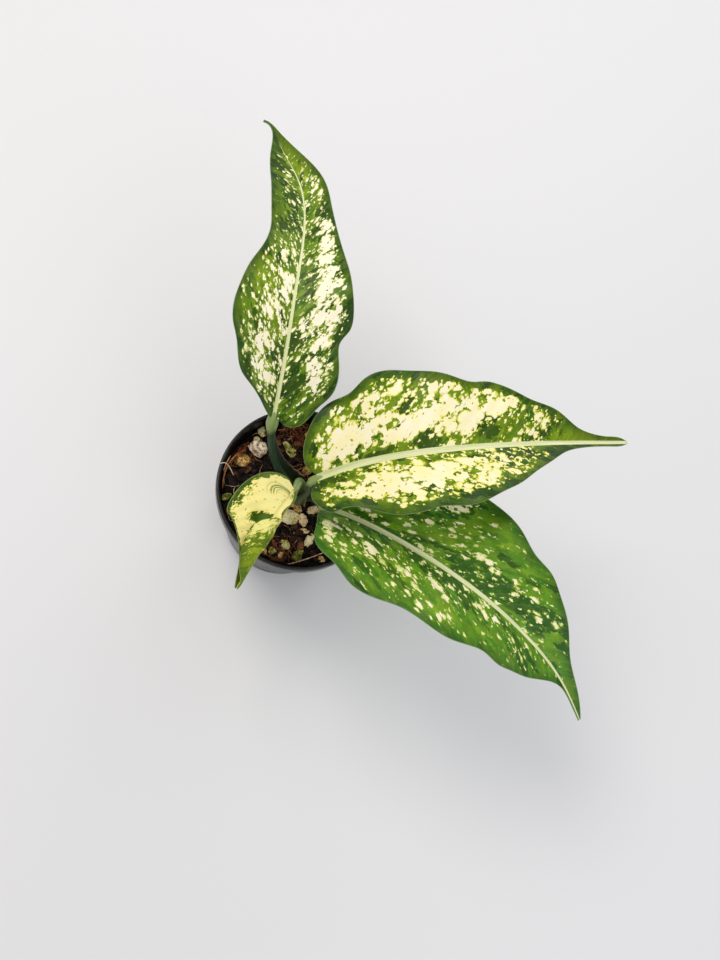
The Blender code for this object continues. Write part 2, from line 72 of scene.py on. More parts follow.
# pumice seen from above: x, y, longest half-size, middle half-size, turn in degrees, tint
PUMICE = [
    (-29.6, 16.6, 3.1, 2.1, 145, "green"),
    (-29.0, 12.0, 1.9, 1.4, 30, "green"),
    (-26.6, 8.2, 4.4, 3.8, 10, "banded"),
    (-29.7, -1.2, 3.8, 3.2, 25, "tan"),
    (-13.4, 15.4, 4.4, 2.1, 156, "green"),
    (-1.7, 11.0, 2.3, 2.0, 20, "tan"),
    (3.2, -12.2, 4.6, 3.8, 50, "green"),
    (9.3, -10.2, 3.1, 2.3, 139, "pale"),
    (12.2, -14.0, 2.2, 1.3, 33, "pale"),
    (10.7, -3.3, 3.3, 2.1, 33, "pale"),
    (3.6, -6.4, 2.9, 1.8, 165, "tan"),
    (16.6, -16.6, 3.3, 2.1, 86, "green"),
    (8.0, -24.2, 2.6, 2.2, 0, "algae"),
    (4.6, -29.6, 2.0, 1.7, 40, "algae"),
    (8.8, -29.2, 2.0, 1.5, 90, "tan"),
    (15.5, -25.0, 2.9, 2.2, 80, "algae"),
    (1.0, -31.6, 2.0, 1.2, 160, "tan"),
    (25.4, -21.0, 2.0, 1.4, 10, "tan"),
    (-26.6, -19.6, 2.8, 1.6, 70, "algae"),
    (-20.5, -17.0, 2.6, 1.8, 60, "tan"),
    (21.0, 4.0, 3.4, 2.6, 25, "pale"),
    (17.0, 15.0, 3.0, 2.2, 70, "green"),
    (6.0, 24.0, 2.8, 2.1, 10, "algae"),
    (-9.0, 27.0, 2.6, 2.2, 50, "tan"),
    (26.0, -8.0, 2.6, 2.0, 120, "pale"),
]
PUMICE_TINTS = ("pale", "green", "algae", "tan", "banded")
# coir fibres that follow the photograph, the first with its end over the rim: path, radius, tone
SEEN_FIBRES = [
    ([(-36.4, -10.2, 70.2), (-34.9, -8.8, 70.6), (-32.0, -9.0, 69.0), (-28.8, -10.3, 65.6)], 0.24, 1.0),
    ([(-34.8, -3.0, 65.5), (-34.4, -7.5, 67.5), (-33.6, -11.3, 66.5)], 0.2, 0.8),
    ([(-29.8, -17.8, 63.6), (-32.9, -10.9, 66.0), (-32.5, -0.6, 65.5), (-30.5, 3.5, 64)], 0.42, 0.4),
    ([(13.6, -31.6, 63.0), (17.8, -27.2, 62.9), (25.1, -17.8, 62.6)], 0.24, 0.85),
]
# tangles of fine fibres: centre x and y, spread, number of fibres
TANGLES = [(-32, 1, 3.5, 16), (-15.5, 24, 4.5, 16), (-3, 8, 3, 9), (7, -28, 5, 8)]
LOOSE_FIBRES = 60
TANGLE_REACH = 33.5
FIBRE_REACH = 34
FIBRE_RINGS = 24
FIBRE_SIDES = 6
CRUMBS = 2300
CRUMB_SHAPES = 12
CHIPS = 86
CHIP_SHAPES = 9
STEM_CLEARANCE = 5
# finishes of the loose matter: material, broad and fine grain in mm, roughness, relief in mm, how
# far the pieces differ in tone, centre of a whorl, then colours from dark to light
GRITS = {
    # damp plant fibre is dark, and these colours are darker still, nearly black, as painted shade
    # inside the pot; half-rotted pine bark is redder
    "peat": ("moist_peat", 1.6, 0.5, 0.9, 0.5, 1.0, None,
             (0.3, "#050302"), (0.5, "#0e0805"), (0.68, "#211309"), (0.85, "#3f2411")),
    "bark": ("composted_bark", 2.2, 0.6, 0.8, 0.4, 1.0, None,
             (0.3, "#120804"), (0.5, "#2d170b"), (0.7, "#5c341b"), (0.9, "#94643c")),
    # foamed volcanic glass scatters light in its pores and looks chalky and bright: washed clean,
    # greened by algae, overgrown, stained by clay, and banded
    "pale": ("washed_pumice", 2.4, 0.45, 0.9, 0.25, 0.4, None,
             (0.2, "#96763e"), (0.34, "#cda974"), (0.46, "#f0d4a4"), (0.7, "#fdebcb")),
    "green": ("greened_pumice", 4.5, 0.5, 0.88, 0.25, 0.4, None,
              (0.24, "#61661a"), (0.34, "#aaa24a"), (0.43, "#e6d59c"), (0.7, "#fff0d2")),
    "algae": ("algae_pumice", 3.2, 0.5, 0.85, 0.25, 0.4, None,
              (0.25, "#38400f"), (0.4, "#767a22"), (0.52, "#c2b46a"), (0.7, "#eadfba")),
    "tan": ("tan_pumice", 3.0, 0.5, 0.88, 0.25, 0.4, None,
            (0.25, "#5c4a18"), (0.38, "#a07c38"), (0.48, "#deae72"), (0.66, "#f4dab2")),
    "banded": ("banded_pumice", 2.6, 0.6, 0.85, 0.25, 0.4, (-24.9, 9.6, 62.0),
               (0.25, "#927552"), (0.36, "#dcc6a8"), (0.5, "#fceee0"), (0.8, "#fff5ea")),
    # hair of the coconut's husk, worn smooth: amber with a slight gloss
    "coir": ("coir_fibre", 3.0, 0.5, 0.7, 0.05, 1.6, None,
             (0.3, "#5a2410"), (0.55, "#944e24"), (0.8, "#c08a5c"), (1.0, "#f0dcc0")),
}

# stem
STEM_RADIUS = 3.9
STEM_FOOT = 34.0
STEM_TOP = 73.0
STEM_RINGS = 110
STEM_SIDES = 64
SCAR_SPACING = 3.1
GAP = 0.3

# leaves
BLADE_THICKNESS = 0.5
KEEL_DEPTH = 1.1
KEEL_WIDTH = 1.3
BLADE_ROWS = 176
BLADE_COLUMNS = 44
CURVE_SAMPLES = 400
MARGIN_SAMPLES = 1200
VEIN_SPACING = 7.0
ROOT_DROP = 1.3
CREASE_DEPTH = 0.3
# the halves of a leaf read the pattern far from each other: over and with the grain
HALVES_APART = (200, 90)

# Each leaf. Where a value has two parts, they are the left and the right half; left is positive.
# midrib: its path. fold, curl: angle of each half at the midrib and its bend per mm, in degrees, from
# stem to tip. wave of the margin: height, length, both phases, and the reach where it is full.
# left, right: the margin as along and across. rib: half-width of the pale midrib, from stem to tip.
# lean: how fast side veins run towards the tip. grain: angle of the speckles to a line across.
# spread: their stretch over and with that grain. plain_edge: width of the margin without cream.
# warmth: how yellow the cream is. speckle, depth and sun: shares of cream, deep green and yellow
# green, changed by washes, deeper and sunnier: along, across, reach along, reach across, strength.
# hollow: along, across, reach, depth. creases: along, across, radius, depth.
UPPER = {
    "midrib": [(-25, 8, 112), (-35, 31, 128), (-44, 51, 134), (-55, 77, 132), (-69, 99, 126),
               (-91.5, 118.5, 117), (-98.5, 123.6, 115), (-103.2, 123.9, 113.2)],
    "fold": [(24, 22, 16, 20), (24, 20, 16, 20)],
    "curl": [(-0.9, -0.8, -0.6, -0.4), (-0.9, -0.8, -0.6, -0.4)],
    "wave": (2.2, 34.0, 0.1, 0.55, 24.0),
    "left": [(0.1, 1.8), (1.8, 3.4), (6, 6.5), (13, 12.5), (18, 17.5), (31, 21.8), (37, 24.2),
             (43, 24.8), (51, 23.4), (60, 20.8), (67, 17.4), (75, 15.2), (90, 14.8), (111, 12.8),
             (129, 6.8), (142, 1.2), (151, 0.5)],
    "right": [(-0.2, 2.0), (-2.3, 6), (-1.2, 10.7), (8, 17.3), (14, 21.5), (21, 23), (28, 22.1),
              (35, 21.5), (41, 25), (48, 25.2), (56, 23.2), (69, 19.6), (81, 14.8), (95, 11.6),
              (107, 11), (120, 7.8), (138, 3), (146, 0.8), (151, 0.5)],
    "rib": (0.95, 0.88, 0.76, 0.62, 0.5, 0.36, 0.12, -0.4),
    "lean": (1.2, 1.0),
    "grain": (24, 36),
    "spread": (0.82, 0.95),
    "plain_edge": (1.6, 1.8),
    "warmth": (0.15, 0.1),
    "speckle": 0.3,
    "washes": [(20, 9, 9, 7, 0.25), (33, 10, 9, 8, 0.24), (45, 8, 9, 6, 0.34), (56, 4, 6, 3, 0.32),
               (58, 10, 7, 4, 0.14), (56, 17, 6, 5, -0.1), (69, 6, 7, 6, 0.24), (82, 7, 8, 4, 0.06),
               (98, 5, 12, 2, 0.12), (95, 11, 18, 4, -0.26), (116, 3, 9, 2, 0.1), (136, 3, 10, 8, -0.2),
               (6, -6, 8, 8, -0.05), (20, -6, 8, 3, -0.16), (20, -14, 8, 5, 0.42),
               (33, -13, 7, 6, 0.34), (44, -10, 5, 5, 0.56), (45, -18, 5, 4, 0.5),
               (55, -5, 4, 3, -0.16), (56, -13, 6, 5, 0.46), (70, -11, 9, 4, 0.46),
               (70, -4, 8, 2.5, 0.06), (84, -9, 7, 3, 0.28), (100, -6, 10, 3, 0.14),
               (118, -5, 8, 2.5, 0.12), (136, -4, 10, 6, -0.2)],
    "depth": 0.3,
    "deeper": [(17, -5, 9, 4, 0.6), (35, -7, 6, 5, 0.5), (55, -5, 5, 3, 0.7), (88, -8, 5, 3, 0.6),
               (100, 5, 14, 3, 0.6), (46, -23, 6, 3, 0.6), (20, 3, 10, 3, 0.4), (72, 17, 8, 3, 0.4),
               (128, -6, 16, 6, -0.4), (54, 15, 9, 6, -0.4), (90, 12, 10, 3, -0.3)],
    "sun": 0.35,
    "sunnier": [(54, 15, 9, 7, 0.4), (128, -5, 16, 6, 0.7), (120, 2, 12, 3, 0.4), (75, 14, 10, 5, 0.2),
                (4, 0, 6, 8, -0.2)],
}
RIGHT = {
    "midrib": [(4.2, -3, 108), (10, 3, 114), (30, 20, 127), (52.5, 37.4, 131), (80, 59, 127),
               (112, 84, 117)],
    "fold": [(26, 20, 16, 14), (34, 30, 24, 16)],
    "curl": [(-0.8, -0.6, -0.4, -0.3), (-0.6, -0.5, -0.4, -0.3)],
    "wave": (2.2, 32.0, 0.3, 0.0, 28.0),
    "left": [(-0.2, 2.0), (-2.3, 5), (-2.4, 9.3), (3.7, 19.5), (10, 26.2), (15, 29), (22, 29.6),
             (28, 32.8), (41, 35.8), (48, 35), (57, 31.5), (69, 27), (77, 27.6), (83, 25.4), (95, 18.4),
             (108, 14.4), (118, 6.8), (126, 3.9), (135, 2.7), (142, 2.1), (146, 0.5)],
    "right": [(-0.2, 2.0), (-2.2, 4), (-3.4, 8), (0.5, 15.3), (6.5, 20), (12, 20), (24, 24.2),
              (36, 29.4), (42, 29.4), (49, 27.4), (62, 27.6), (73, 23.3), (83, 19), (91, 14.2),
              (101, 9), (110, 4.6), (119, 2.7), (136, 2.0), (142, 1.7), (146, 0.5)],
    "rib": (1.8, 1.6, 1.35, 1.0, 0.8),
    "lean": (0.6, 1.4),
    "grain": (50, 18),
    "spread": (1.2, 1.05),
    "plain_edge": (2.6, 3.4),
    "warmth": (0.52, 0.66),
    "speckle": 0.4,
    "washes": [(14, 11, 8, 8, 0.2), (25, 13, 8, 9, 0.46), (38, 11, 6, 6, 0.34), (37, 26, 8, 4, 0.3),
               (52, 14, 9, 7, 0.42), (66, 12, 8, 7, 0.46), (82, 16, 9, 4, 0.4), (75, 23, 6, 2.5, 0.26),
               (56, 27, 6, 3, 0.14), (93, 7, 8, 4, 0.16), (3, 10, 4, 9, -0.06), (48, 3.5, 6, 3, -0.4),
               (28, 2.5, 7, 2, -0.3), (75, 5, 6, 3.5, -0.36), (40, 18, 2.5, 2.5, -0.4),
               (95, 17, 9, 4, -0.2), (112, 4, 9, 6, -0.3), (125, 2, 16, 5, -0.5), (14, -13, 8, 6, 0.28),
               (28, -12, 9, 7, 0.34), (42, -12, 9, 8, 0.34), (56, -10, 8, 6, 0.3),
               (66, -18, 4, 2, 0.36), (72, -9, 9, 5, 0.24), (90, -7, 8, 3, 0.06), (6, -4, 8, 3, -0.3),
               (108, -4, 10, 6, -0.3), (125, -2, 16, 5, -0.5)],
    "depth": 0.2,
    "deeper": [(46, 4, 7, 4, 0.8), (27, 2.5, 9, 2, 0.7), (76, 6, 6, 3, 0.8), (40, 18, 3, 3, 0.7),
               (102, 4, 7, 3, 0.6), (122, 2, 16, 8, -0.8), (6, -5, 10, 3, 0.5), (80, -4, 12, 3, 0.7),
               (102, -4, 10, 4, 0.8), (30, 30, 10, 3, -0.3)],
    "sun": 0.42,
    "sunnier": [(6, 8, 8, 10, 0.3), (60, 27, 14, 4, 0.2), (30, -12, 20, 8, 0.2), (122, 1, 12, 5, 0.6),
                (122, -1, 12, 5, 0.6), (60, -24, 20, 3, -0.2), (95, 14, 10, 6, -0.2)],
}
LOWER = {
    "midrib": [(14.5, -9, 98), (26, -8.7, 105), (52, -8.5, 112), (81, -9.5, 113), (109, -12, 107),
               (141, -20, 97), (157, -28, 90)],
    "fold": [(10, 10, 14, 14), (32, 32, 28, 16)],
    "curl": [(-0.5, -0.4, -0.4, -0.3), (-0.5, -0.4, -0.4, -0.3)],
    "wave": (2.0, 36.0, 0.2, 0.6, 26.0),
    "left": [(-0.2, 2.0), (-2, 5), (-1, 12), (4, 20), (12, 27), (24, 32.5), (36, 36), (48, 37.5),
             (60, 36.8), (72, 32.8), (86, 29.2), (96, 28), (102, 23.8), (115, 16), (126, 8.4),
             (138, 4.6), (146, 2.6), (152, 0.6)],
    "right": [(-0.2, 2.0), (-1, 5), (1.6, 10), (5.6, 18.2), (12, 23.7), (20, 27.5), (29, 32.8),
              (36, 32.4), (48, 30), (62, 30.5), (80, 24.8), (87, 22.8), (93, 23.2), (103, 20),
              (114, 14.9), (124, 7.4), (133, 2), (144, 0.9), (152, 0.6)],
    "rib": (1.2, 1.25, 1.05, 0.7, 0.3),
    "lean": (1.1, 1.2),
    "grain": (12, 23),
    "spread": (1.15, 1.35),
    "plain_edge": (2.2, 2.2),
    "warmth": (0.4, 0.42),
    "speckle": 0.26,
    "washes": [(40, 23, 4, 3, 0.5), (48, 26, 5, 4, 0.26), (36, 11, 8, 4, 0.14), (20, 6, 9, 4, 0.1),
               (60, 20, 9, 6, 0.12), (70, 14, 9, 5, 0.14), (90, 9, 12, 4, 0.12), (48, 2, 4, 1.5, 0.16),
               (66, 30, 14, 5, -0.06), (90, 24, 14, 6, -0.14), (125, 6, 14, 8, -0.12),
               (12, -12, 8, 8, 0.16), (27, -12, 8, 5, 0.26), (42, -9, 8, 6, 0.2),
               (60, -11, 10, 5, 0.26), (52, -21, 8, 4, 0.16), (84, -8, 10, 4, 0.24),
               (20, -3, 14, 3, -0.08), (90, -18, 20, 5, -0.14), (122, -5, 14, 8, -0.14)],
    "depth": 0.24,
    "deeper": [(20, -5, 12, 5, 0.5), (45, -5, 12, 4, 0.5), (70, 6, 14, 5, 0.8), (88, 9, 12, 5, 0.7),
               (104, 10, 6, 5, 0.5), (36, 14, 12, 4, 0.5), (85, -8, 16, 6, 0.3), (24, 4, 14, 4, 0.5),
               (52, 10, 10, 3, -0.6), (75, 26, 16, 8, -0.6), (60, -20, 16, 6, -0.4),
               (50, 26, 6, 5, 0.5), (118, 14, 6, 3, 0.6)],
    "sun": 0.3,
    "sunnier": [(52, 10, 10, 3, 0.5), (68, 22, 12, 6, 0.24), (30, -14, 14, 8, 0.26),
                (58, -20, 14, 5, 0.3), (20, 10, 14, 6, 0.2), (110, -6, 20, 8, -0.1)],
}
# the young leaf is still rolled towards its tip, with an open mouth above the roll
YOUNG = {
    "midrib": [(-1.6, -7.9, 92), (-2.3, -16.1, 99), (-2.8, -24.1, 105), (-2.4, -31.3, 109),
               (-1.3, -39.1, 112), (-1.2, -46.7, 114), (-0.7, -53.7, 115), (-0.4, -60.1, 115)],
    "fold": [(15, 15, 15, 15, 18, 26, 30, 32, 35, 40, 45, 50, 50),
             (6, 6, 6, 5, 5, 5, 5, 6, 8, 12, 16, 22, 30)],
    "curl": [(1, 1, 1, 1.5, 3, 6.5, 10.5, 11.5, 12.5, 15, 18, 24, 30),
             (0.3, 0.3, 0.3, 0.3, 0.3, 0.4, 0.6, 1, 1.6, 2.6, 4, 6, 9)],
    "wave": (0.0, 30.0, 0.0, 0.0, 20.0),
    "left": [(0.1, 1.2), (4, 2.4), (9, 3.4), (16.5, 3.0), (23, 3.6), (27, 5.4), (30, 8.8), (33, 12.6),
             (35.5, 15.6), (38, 17.2), (43, 15.6), (48, 11.6), (52.5, 7.6), (56.5, 4), (59, 1.8),
             (60.4, 0.7)],
    "right": [(-0.2, 2.0), (-2.6, 5), (-1.2, 9), (2.5, 12.4), (8, 15.2), (15, 17.3), (23, 18.8),
              (28, 19.2), (33, 19.2), (37.5, 17.6), (41, 14.4), (43.6, 11), (46, 8.2), (51, 4.7),
              (55, 3.2), (59, 1.5), (60.4, 0.7)],
    "rib": (0.5, 0.5, 0.4, 0.3, 0.2),
    "lean": (1.0, 1.0),
    "grain": (32, 24),
    "spread": (1.0, 1.0),
    "plain_edge": (1.0, 1.5),
    "warmth": (0.9, 0.9),
    "speckle": 1.0,
    # at along 27.2 and 28 the washes, deeper and sunnier entries darken the mouth's hollow: partly its
    # own deep green tissue, partly painted shade
    "washes": [(36, 9, 8, 9, -0.3), (45, 9, 8, 9, -0.68), (52, 4, 9, 6, -0.6),
               (27.2, -4.7, 2.4, 3.8, -2.4), (28, 1.5, 2.6, 2.2, -1.2), (46, -7, 10, 8, -0.4),
               (22, -16, 20, 2.4, -0.55), (12, -11, 8, 3, -0.2), (3, 1, 4, 3, -0.2)],
    "depth": 0.25,
    "deeper": [(27.2, -4.7, 3, 4.6, 1.3), (28, 1.5, 3, 3, 1.2), (25, -18, 22, 2.5, 0.5),
               (46, 12, 10, 4, 0.8), (40, 6, 6, 4, 0.4)],
    "sun": 0.5,
    "sunnier": [(27.2, -4.7, 3, 4.6, -0.8), (25, -18, 22, 3, -0.4), (44, 8, 8, 5, 0.3)],
    "hollow": (27.2, -4.7, 3.4, 2.4),
    "creases": [(9.8, -1.8, 3.4, 0.2), (10.0, -2.0, 4.7, 0.32), (10.2, -2.2, 5.8, 0.36),
                (11.0, -2.6, 7.4, 0.16)],
}

# petioles: path before the blade, radii from foot to top, sheath wings as direction in degrees, width
# and share of the petiole that they reach, paleness
PETIOLES = {
    "upper": ([(-4.9, 0.6, 64), (-12.0, 0.2, 76), (-18.4, 1.4, 90), (-22.6, 4.2, 103)],
              (2.3, 1.7, 1.6, 2.7, 2.3), [(40, 5.4, 0.8)], 0.0),
    "right": ([(2.4, -4.5, 64), (3.1, -4.1, 78), (3.5, -4.3, 96)],
              (2.0, 1.8, 1.6, 1.9, 2.0), [(-10, 2.0, 0.35), (170, 2.2, 0.45)], 0.1),
    "lower": ([(5.0, -0.6, 64), (8.2, -3.6, 80), (11.4, -7.6, 90)],
              (2.0, 1.7, 1.5, 1.8, 1.9), [(60, 2.4, 0.5)], 0.1),
    "young": ([(0, 0, STEM_TOP + GAP), (-1.2, -0.8, 80), (-1.8, -3.6, 86.5)],
              (2.4, 2.1, 1.7, 1.5, 1.5), [], 0.8),
}
PETIOLE_RINGS = 90
PETIOLE_SIDES = 36
CHANNEL_DEPTH = 0.42
STEM_SIDE = np.array([0.0, -4.0, 0.0])
WING_THICKNESS = 0.4
FAR_FROM_MARGIN = 9.0

# stage: the camera's distance from the rim's centre, its steepness and turn in degrees, its lens, and
# the rim's half-width and centre in the photograph, in pixels
CAMERA_AWAY = 450.0
CAMERA_STEEP = 74
CAMERA_TURN = 32
SENSOR = 36.0
LENS = 36.8586
RIM_IN_PICTURE = 83
RIM_RIGHT, RIM_UP = -60, -8
FLOOR = 3000
PLANT_MIDDLE = (15, 10, 80)
# soft lamps: place, width, power and tint
LAMPS = [
    ("key", (-420, 140, 760), 420, 2.8, "#fff8ee"),
    ("fill", (520, -300, 620), 620, 1.2, "#f8fafd"),
    ("back", (60, 620, 420), 400, 0.7, "#ffffff"),
]


def paint(code):
    """An sRGB hex colour as linear light, ready for a colour socket."""
    shares = [int(code[i : i + 2], 16) / 255 for i in (1, 3, 5)]
    return (*[s / 12.92 if s <= 0.04045 else ((s + 0.055) / 1.055) ** 2.4 for s in shares], 1.0)


def fill(node, inputs):
    """Sets or links a node's inputs, by place or by name. A colour is written as #rrggbb."""
    for socket, value in inputs.items():
        target = node.inputs[socket]
        if isinstance(value, bpy.types.NodeSocket):
            node.id_data.links.new(value, target)
        else:
            target.default_value = paint(value) if isinstance(value, str) else value


# the setting that the word after a node's kind chooses
CHOICES = {
    "Math": "operation",
    "VectorMath": "operation",
    "MixRGB": "blend_type",
    "MapRange": "interpolation_type",
    "TexNoise": "noise_dimensions",
    "TexVoronoi": "voronoi_dimensions",
    "TexWave": "wave_type",
}


def add_node(tree, kind, *values, out=0, stops=None, **named):
    """Adds one node and returns one of its outputs. The values fill its inputs in order, or by name
    when the name has a capital; the other names are settings."""
    kind, _, choice = kind.partition(" ")
    node = tree.nodes.new("ShaderNode" + kind)
    if choice:
        setattr(node, CHOICES[kind], choice)
    inputs = dict(enumerate(values))
    for name, value in named.items():
        if name[0].isupper():
            inputs[name.replace("_", " ")] = value
        else:
            setattr(node, name, value)
    if stops:
        ramp = node.color_ramp.elements
        for end in (0, -1):
            ramp[end].position, ramp[end].color = stops[end][0], paint(stops[end][1])
        for place, code in stops[1:-1]:
            ramp.new(place).color = paint(code)
    fill(node, inputs)
    return node.outputs[out]


def surface(name, **sockets):
    """A named material, what adds its nodes, and its shader, on which every value that is the same
    all over is set."""
    made = bpy.data.materials.new(name)
    made.use_nodes = True
    shader = made.node_tree.nodes["Principled BSDF"]
    fill(shader, {socket.replace("_", " "): value for socket, value in sockets.items()})
    return made, partial(add_node, made.node_tree), shader


def new_piece(name, points, faces, finish, notes=None):
    """A piece from points in millimetres and groups of faces with as many corners each, with values
    noted at each point for its material."""
    mesh = bpy.data.meshes.new(name)
    corners = np.concatenate([group.ravel() for group in faces]).astype(np.int32)
    sizes = np.concatenate([np.full(len(group), group.shape[1]) for group in faces])
    mesh.vertices.add(len(points))
    mesh.vertices.foreach_set("co", (np.asarray(points, float) * MM).ravel())
    mesh.loops.add(len(corners))
    mesh.loops.foreach_set("vertex_index", corners)
    mesh.polygons.add(len(sizes))
    mesh.polygons.foreach_set("loop_start", (np.cumsum(sizes) - sizes).astype(np.int32))
    mesh.update(calc_edges=True)
    for note, values in (notes or {}).items():
        kind, field = ("FLOAT", "value") if values.ndim == 1 else ("FLOAT_VECTOR", "vector")
        noted = mesh.attributes.new(note, kind, "POINT")
        noted.data.foreach_set(field, values.ravel().astype(np.float32))
    mesh.materials.append(finish)
    piece = bpy.data.objects.new(name, mesh)
    bpy.context.scene.collection.objects.link(piece)
    return piece


def place_on_plant(piece, slot, *nodes):
    """Sets a piece on the part's one body, in place of the named nodes. Its finish slot is not used."""
    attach(piece, "root")
    if nodes:
        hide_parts(*nodes)


def smooth_step(value, low, high):
    share = np.clip((value - low) / (high - low), 0, 1)
    return share * share * (3 - 2 * share)


def roughness_of(points, spacing):
    """Soft natural noise, about -0.5 to 0.5, at each point."""
    flat = np.asarray(points, float).reshape(-1, 3) / spacing
    values = [noise.fractal(point, 1.0, 2.0, NOISE_DETAIL) for point in flat]
    return np.array(values).reshape(np.shape(points)[:-1])


def circle(sides):
    """Points round a circle of radius 1."""
    angle = 2 * np.pi * np.arange(sides) / sides
    return np.stack([np.cos(angle), np.sin(angle)], 1)


def ring_faces(rings, sides):
    """Walls between rings of points, and caps to a first and a last point that follow the rings."""
    here = np.arange((rings - 1) * sides)
    there = here // sides * sides + (here + 1) % sides
    k, n = here[:sides], there[:sides]
    last = (rings - 1) * sides
    foot = np.stack([0 * k + rings * sides, n, k], 1)
    top = np.stack([0 * k + rings * sides + 1, last + k, last + n], 1)
    return [np.stack([here, there, there + sides, here + sides], 1), np.concatenate([foot, top])]


def revolve(profile, sides):
    """Points and faces of a solid turned about z, from the axis at the foot to the axis above."""
    rings = np.array(profile[1:-1], float)[:, None]
    heights = np.repeat(rings[..., 1:], sides, 1)
    points = np.concatenate([rings[..., :1] * circle(sides), heights], -1).reshape(-1, 3)
    points = np.concatenate([points, [(0, 0, profile[0][1]), (0, 0, profile[-1][1])]])
    return points, ring_faces(len(rings), sides)


def ring_tube(centres, forwards, wides, sections):
    """Points and faces of a rod through rings, closed at both ends. Sections hold (across, up)."""
    first = unit(wides - forwards * np.einsum("ij,ij->i", wides, forwards)[:, None])[:, None]
    second = np.cross(forwards, first[:, 0])[:, None]
    points = centres[:, None] + first * sections[..., :1] + second * sections[..., 1:]
    points = np.concatenate([points.reshape(-1, 3), centres[:1], centres[-1:]])
    return points, ring_faces(*sections.shape[:2])


# Leaves


def natural_curve(points, count):
    """Evenly sampled natural cubic through the points."""
    knots = np.array(points, float)
    steps = np.linalg.norm(np.diff(knots, axis=0), axis=1)
    at = np.concatenate([[0.0], np.cumsum(steps)])
    size = len(at)
    system = np.zeros((size, size))
    system[0, 0] = 1
    system[-1, -1] = 1
    rest = np.zeros((size, knots.shape[1]))
    slopes = np.diff(knots, axis=0) / steps[:, None]
    for i in range(1, size - 1):
        system[i, i - 1] = steps[i - 1]
        system[i, i] = 2 * (steps[i - 1] + steps[i])
        system[i, i + 1] = steps[i]
        rest[i] = 6 * (slopes[i] - slopes[i - 1])
    bend = np.linalg.solve(system, rest)
    where = np.linspace(0, at[-1], count)
    i = np.clip(np.searchsorted(at, where) - 1, 0, size - 2)
    along = (where - at[i])[:, None]
    step = steps[i][:, None]
    first = slopes[i] - step * (2 * bend[i] + bend[i + 1]) / 6
    third = (bend[i + 1] - bend[i]) / (6 * step)
    return knots[i] + first * along + bend[i] / 2 * along**2 + third * along**3


def lengths(curve):
    """Distance along a curve at each of its points."""
    steps = np.linalg.norm(np.diff(curve, axis=0), axis=1)
    return np.concatenate([[0.0], np.cumsum(steps)])


def unit(vectors):
    return vectors / np.linalg.norm(vectors, axis=-1, keepdims=True)


class Blade:
    """Maps flat leaf places (along, across) onto the bent blade, as the part's source does."""

    def __init__(self, leaf):
        self.leaf = leaf
        self.curve = natural_curve(leaf["midrib"], CURVE_SAMPLES)
        self.at = lengths(self.curve)
        self.length = self.at[-1]
        self.start = unit(self.curve[6] - self.curve[0])
        self.end = unit(self.curve[-1] - self.curve[-7])

    def midrib(self, along):
        held = np.clip(along, 0, self.length)
        place = np.stack([np.interp(held, self.at, self.curve[:, k]) for k in range(3)], -1)
        before = np.minimum(along, 0)[..., None] * self.start
        after = np.maximum(along - self.length, 0)[..., None] * self.end
        return place + before + after

    def frame(self, along):
        forward = unit(self.midrib(along + 1.5) - self.midrib(along - 1.5))
        across = unit(np.cross([0.0, 0.0, 1.0], forward))
        return across, np.cross(forward, across)

    def keyed(self, values, along):
        return np.interp(along / self.length, np.linspace(0, 1, len(values)), values)

    def surface(self, along, reach, side):
        """The upper face and its upward direction, on the left (0) or right (1) of the midrib."""
        first = np.radians(self.keyed(self.leaf["fold"][side], along))
        bend = np.radians(self.keyed(self.leaf["curl"][side], along))
        last = first + bend * reach
        out = (np.sin(last) - np.sin(first)) / bend
        rise = (np.cos(first) - np.cos(last)) / bend
        height, spacing, *phases, nominal = self.leaf["wave"]
        swing = height * np.sin(2 * np.pi * (along / spacing + phases[side]))
        part = along / self.length
        swing *= np.clip(6 * part + 0.4, 0, 1) * np.clip(5 - 5 * part, 0, 1)
        rise = rise + swing * np.minimum(reach / nominal, 1.3) ** 2
        sideways, up = self.frame(along)
        sign = 1 - 2 * side
        place = self.midrib(along) + sideways * (sign * out)[..., None] + up * rise[..., None]
        facing = up * np.cos(last)[..., None] - sideways * (sign * np.sin(last))[..., None]
        return place, facing


def vein_lead(reach, lean):
    """How far a side vein has run towards the tip at this reach from the midrib."""
    return lean * (0.8 * reach + 0.028 * reach**2)


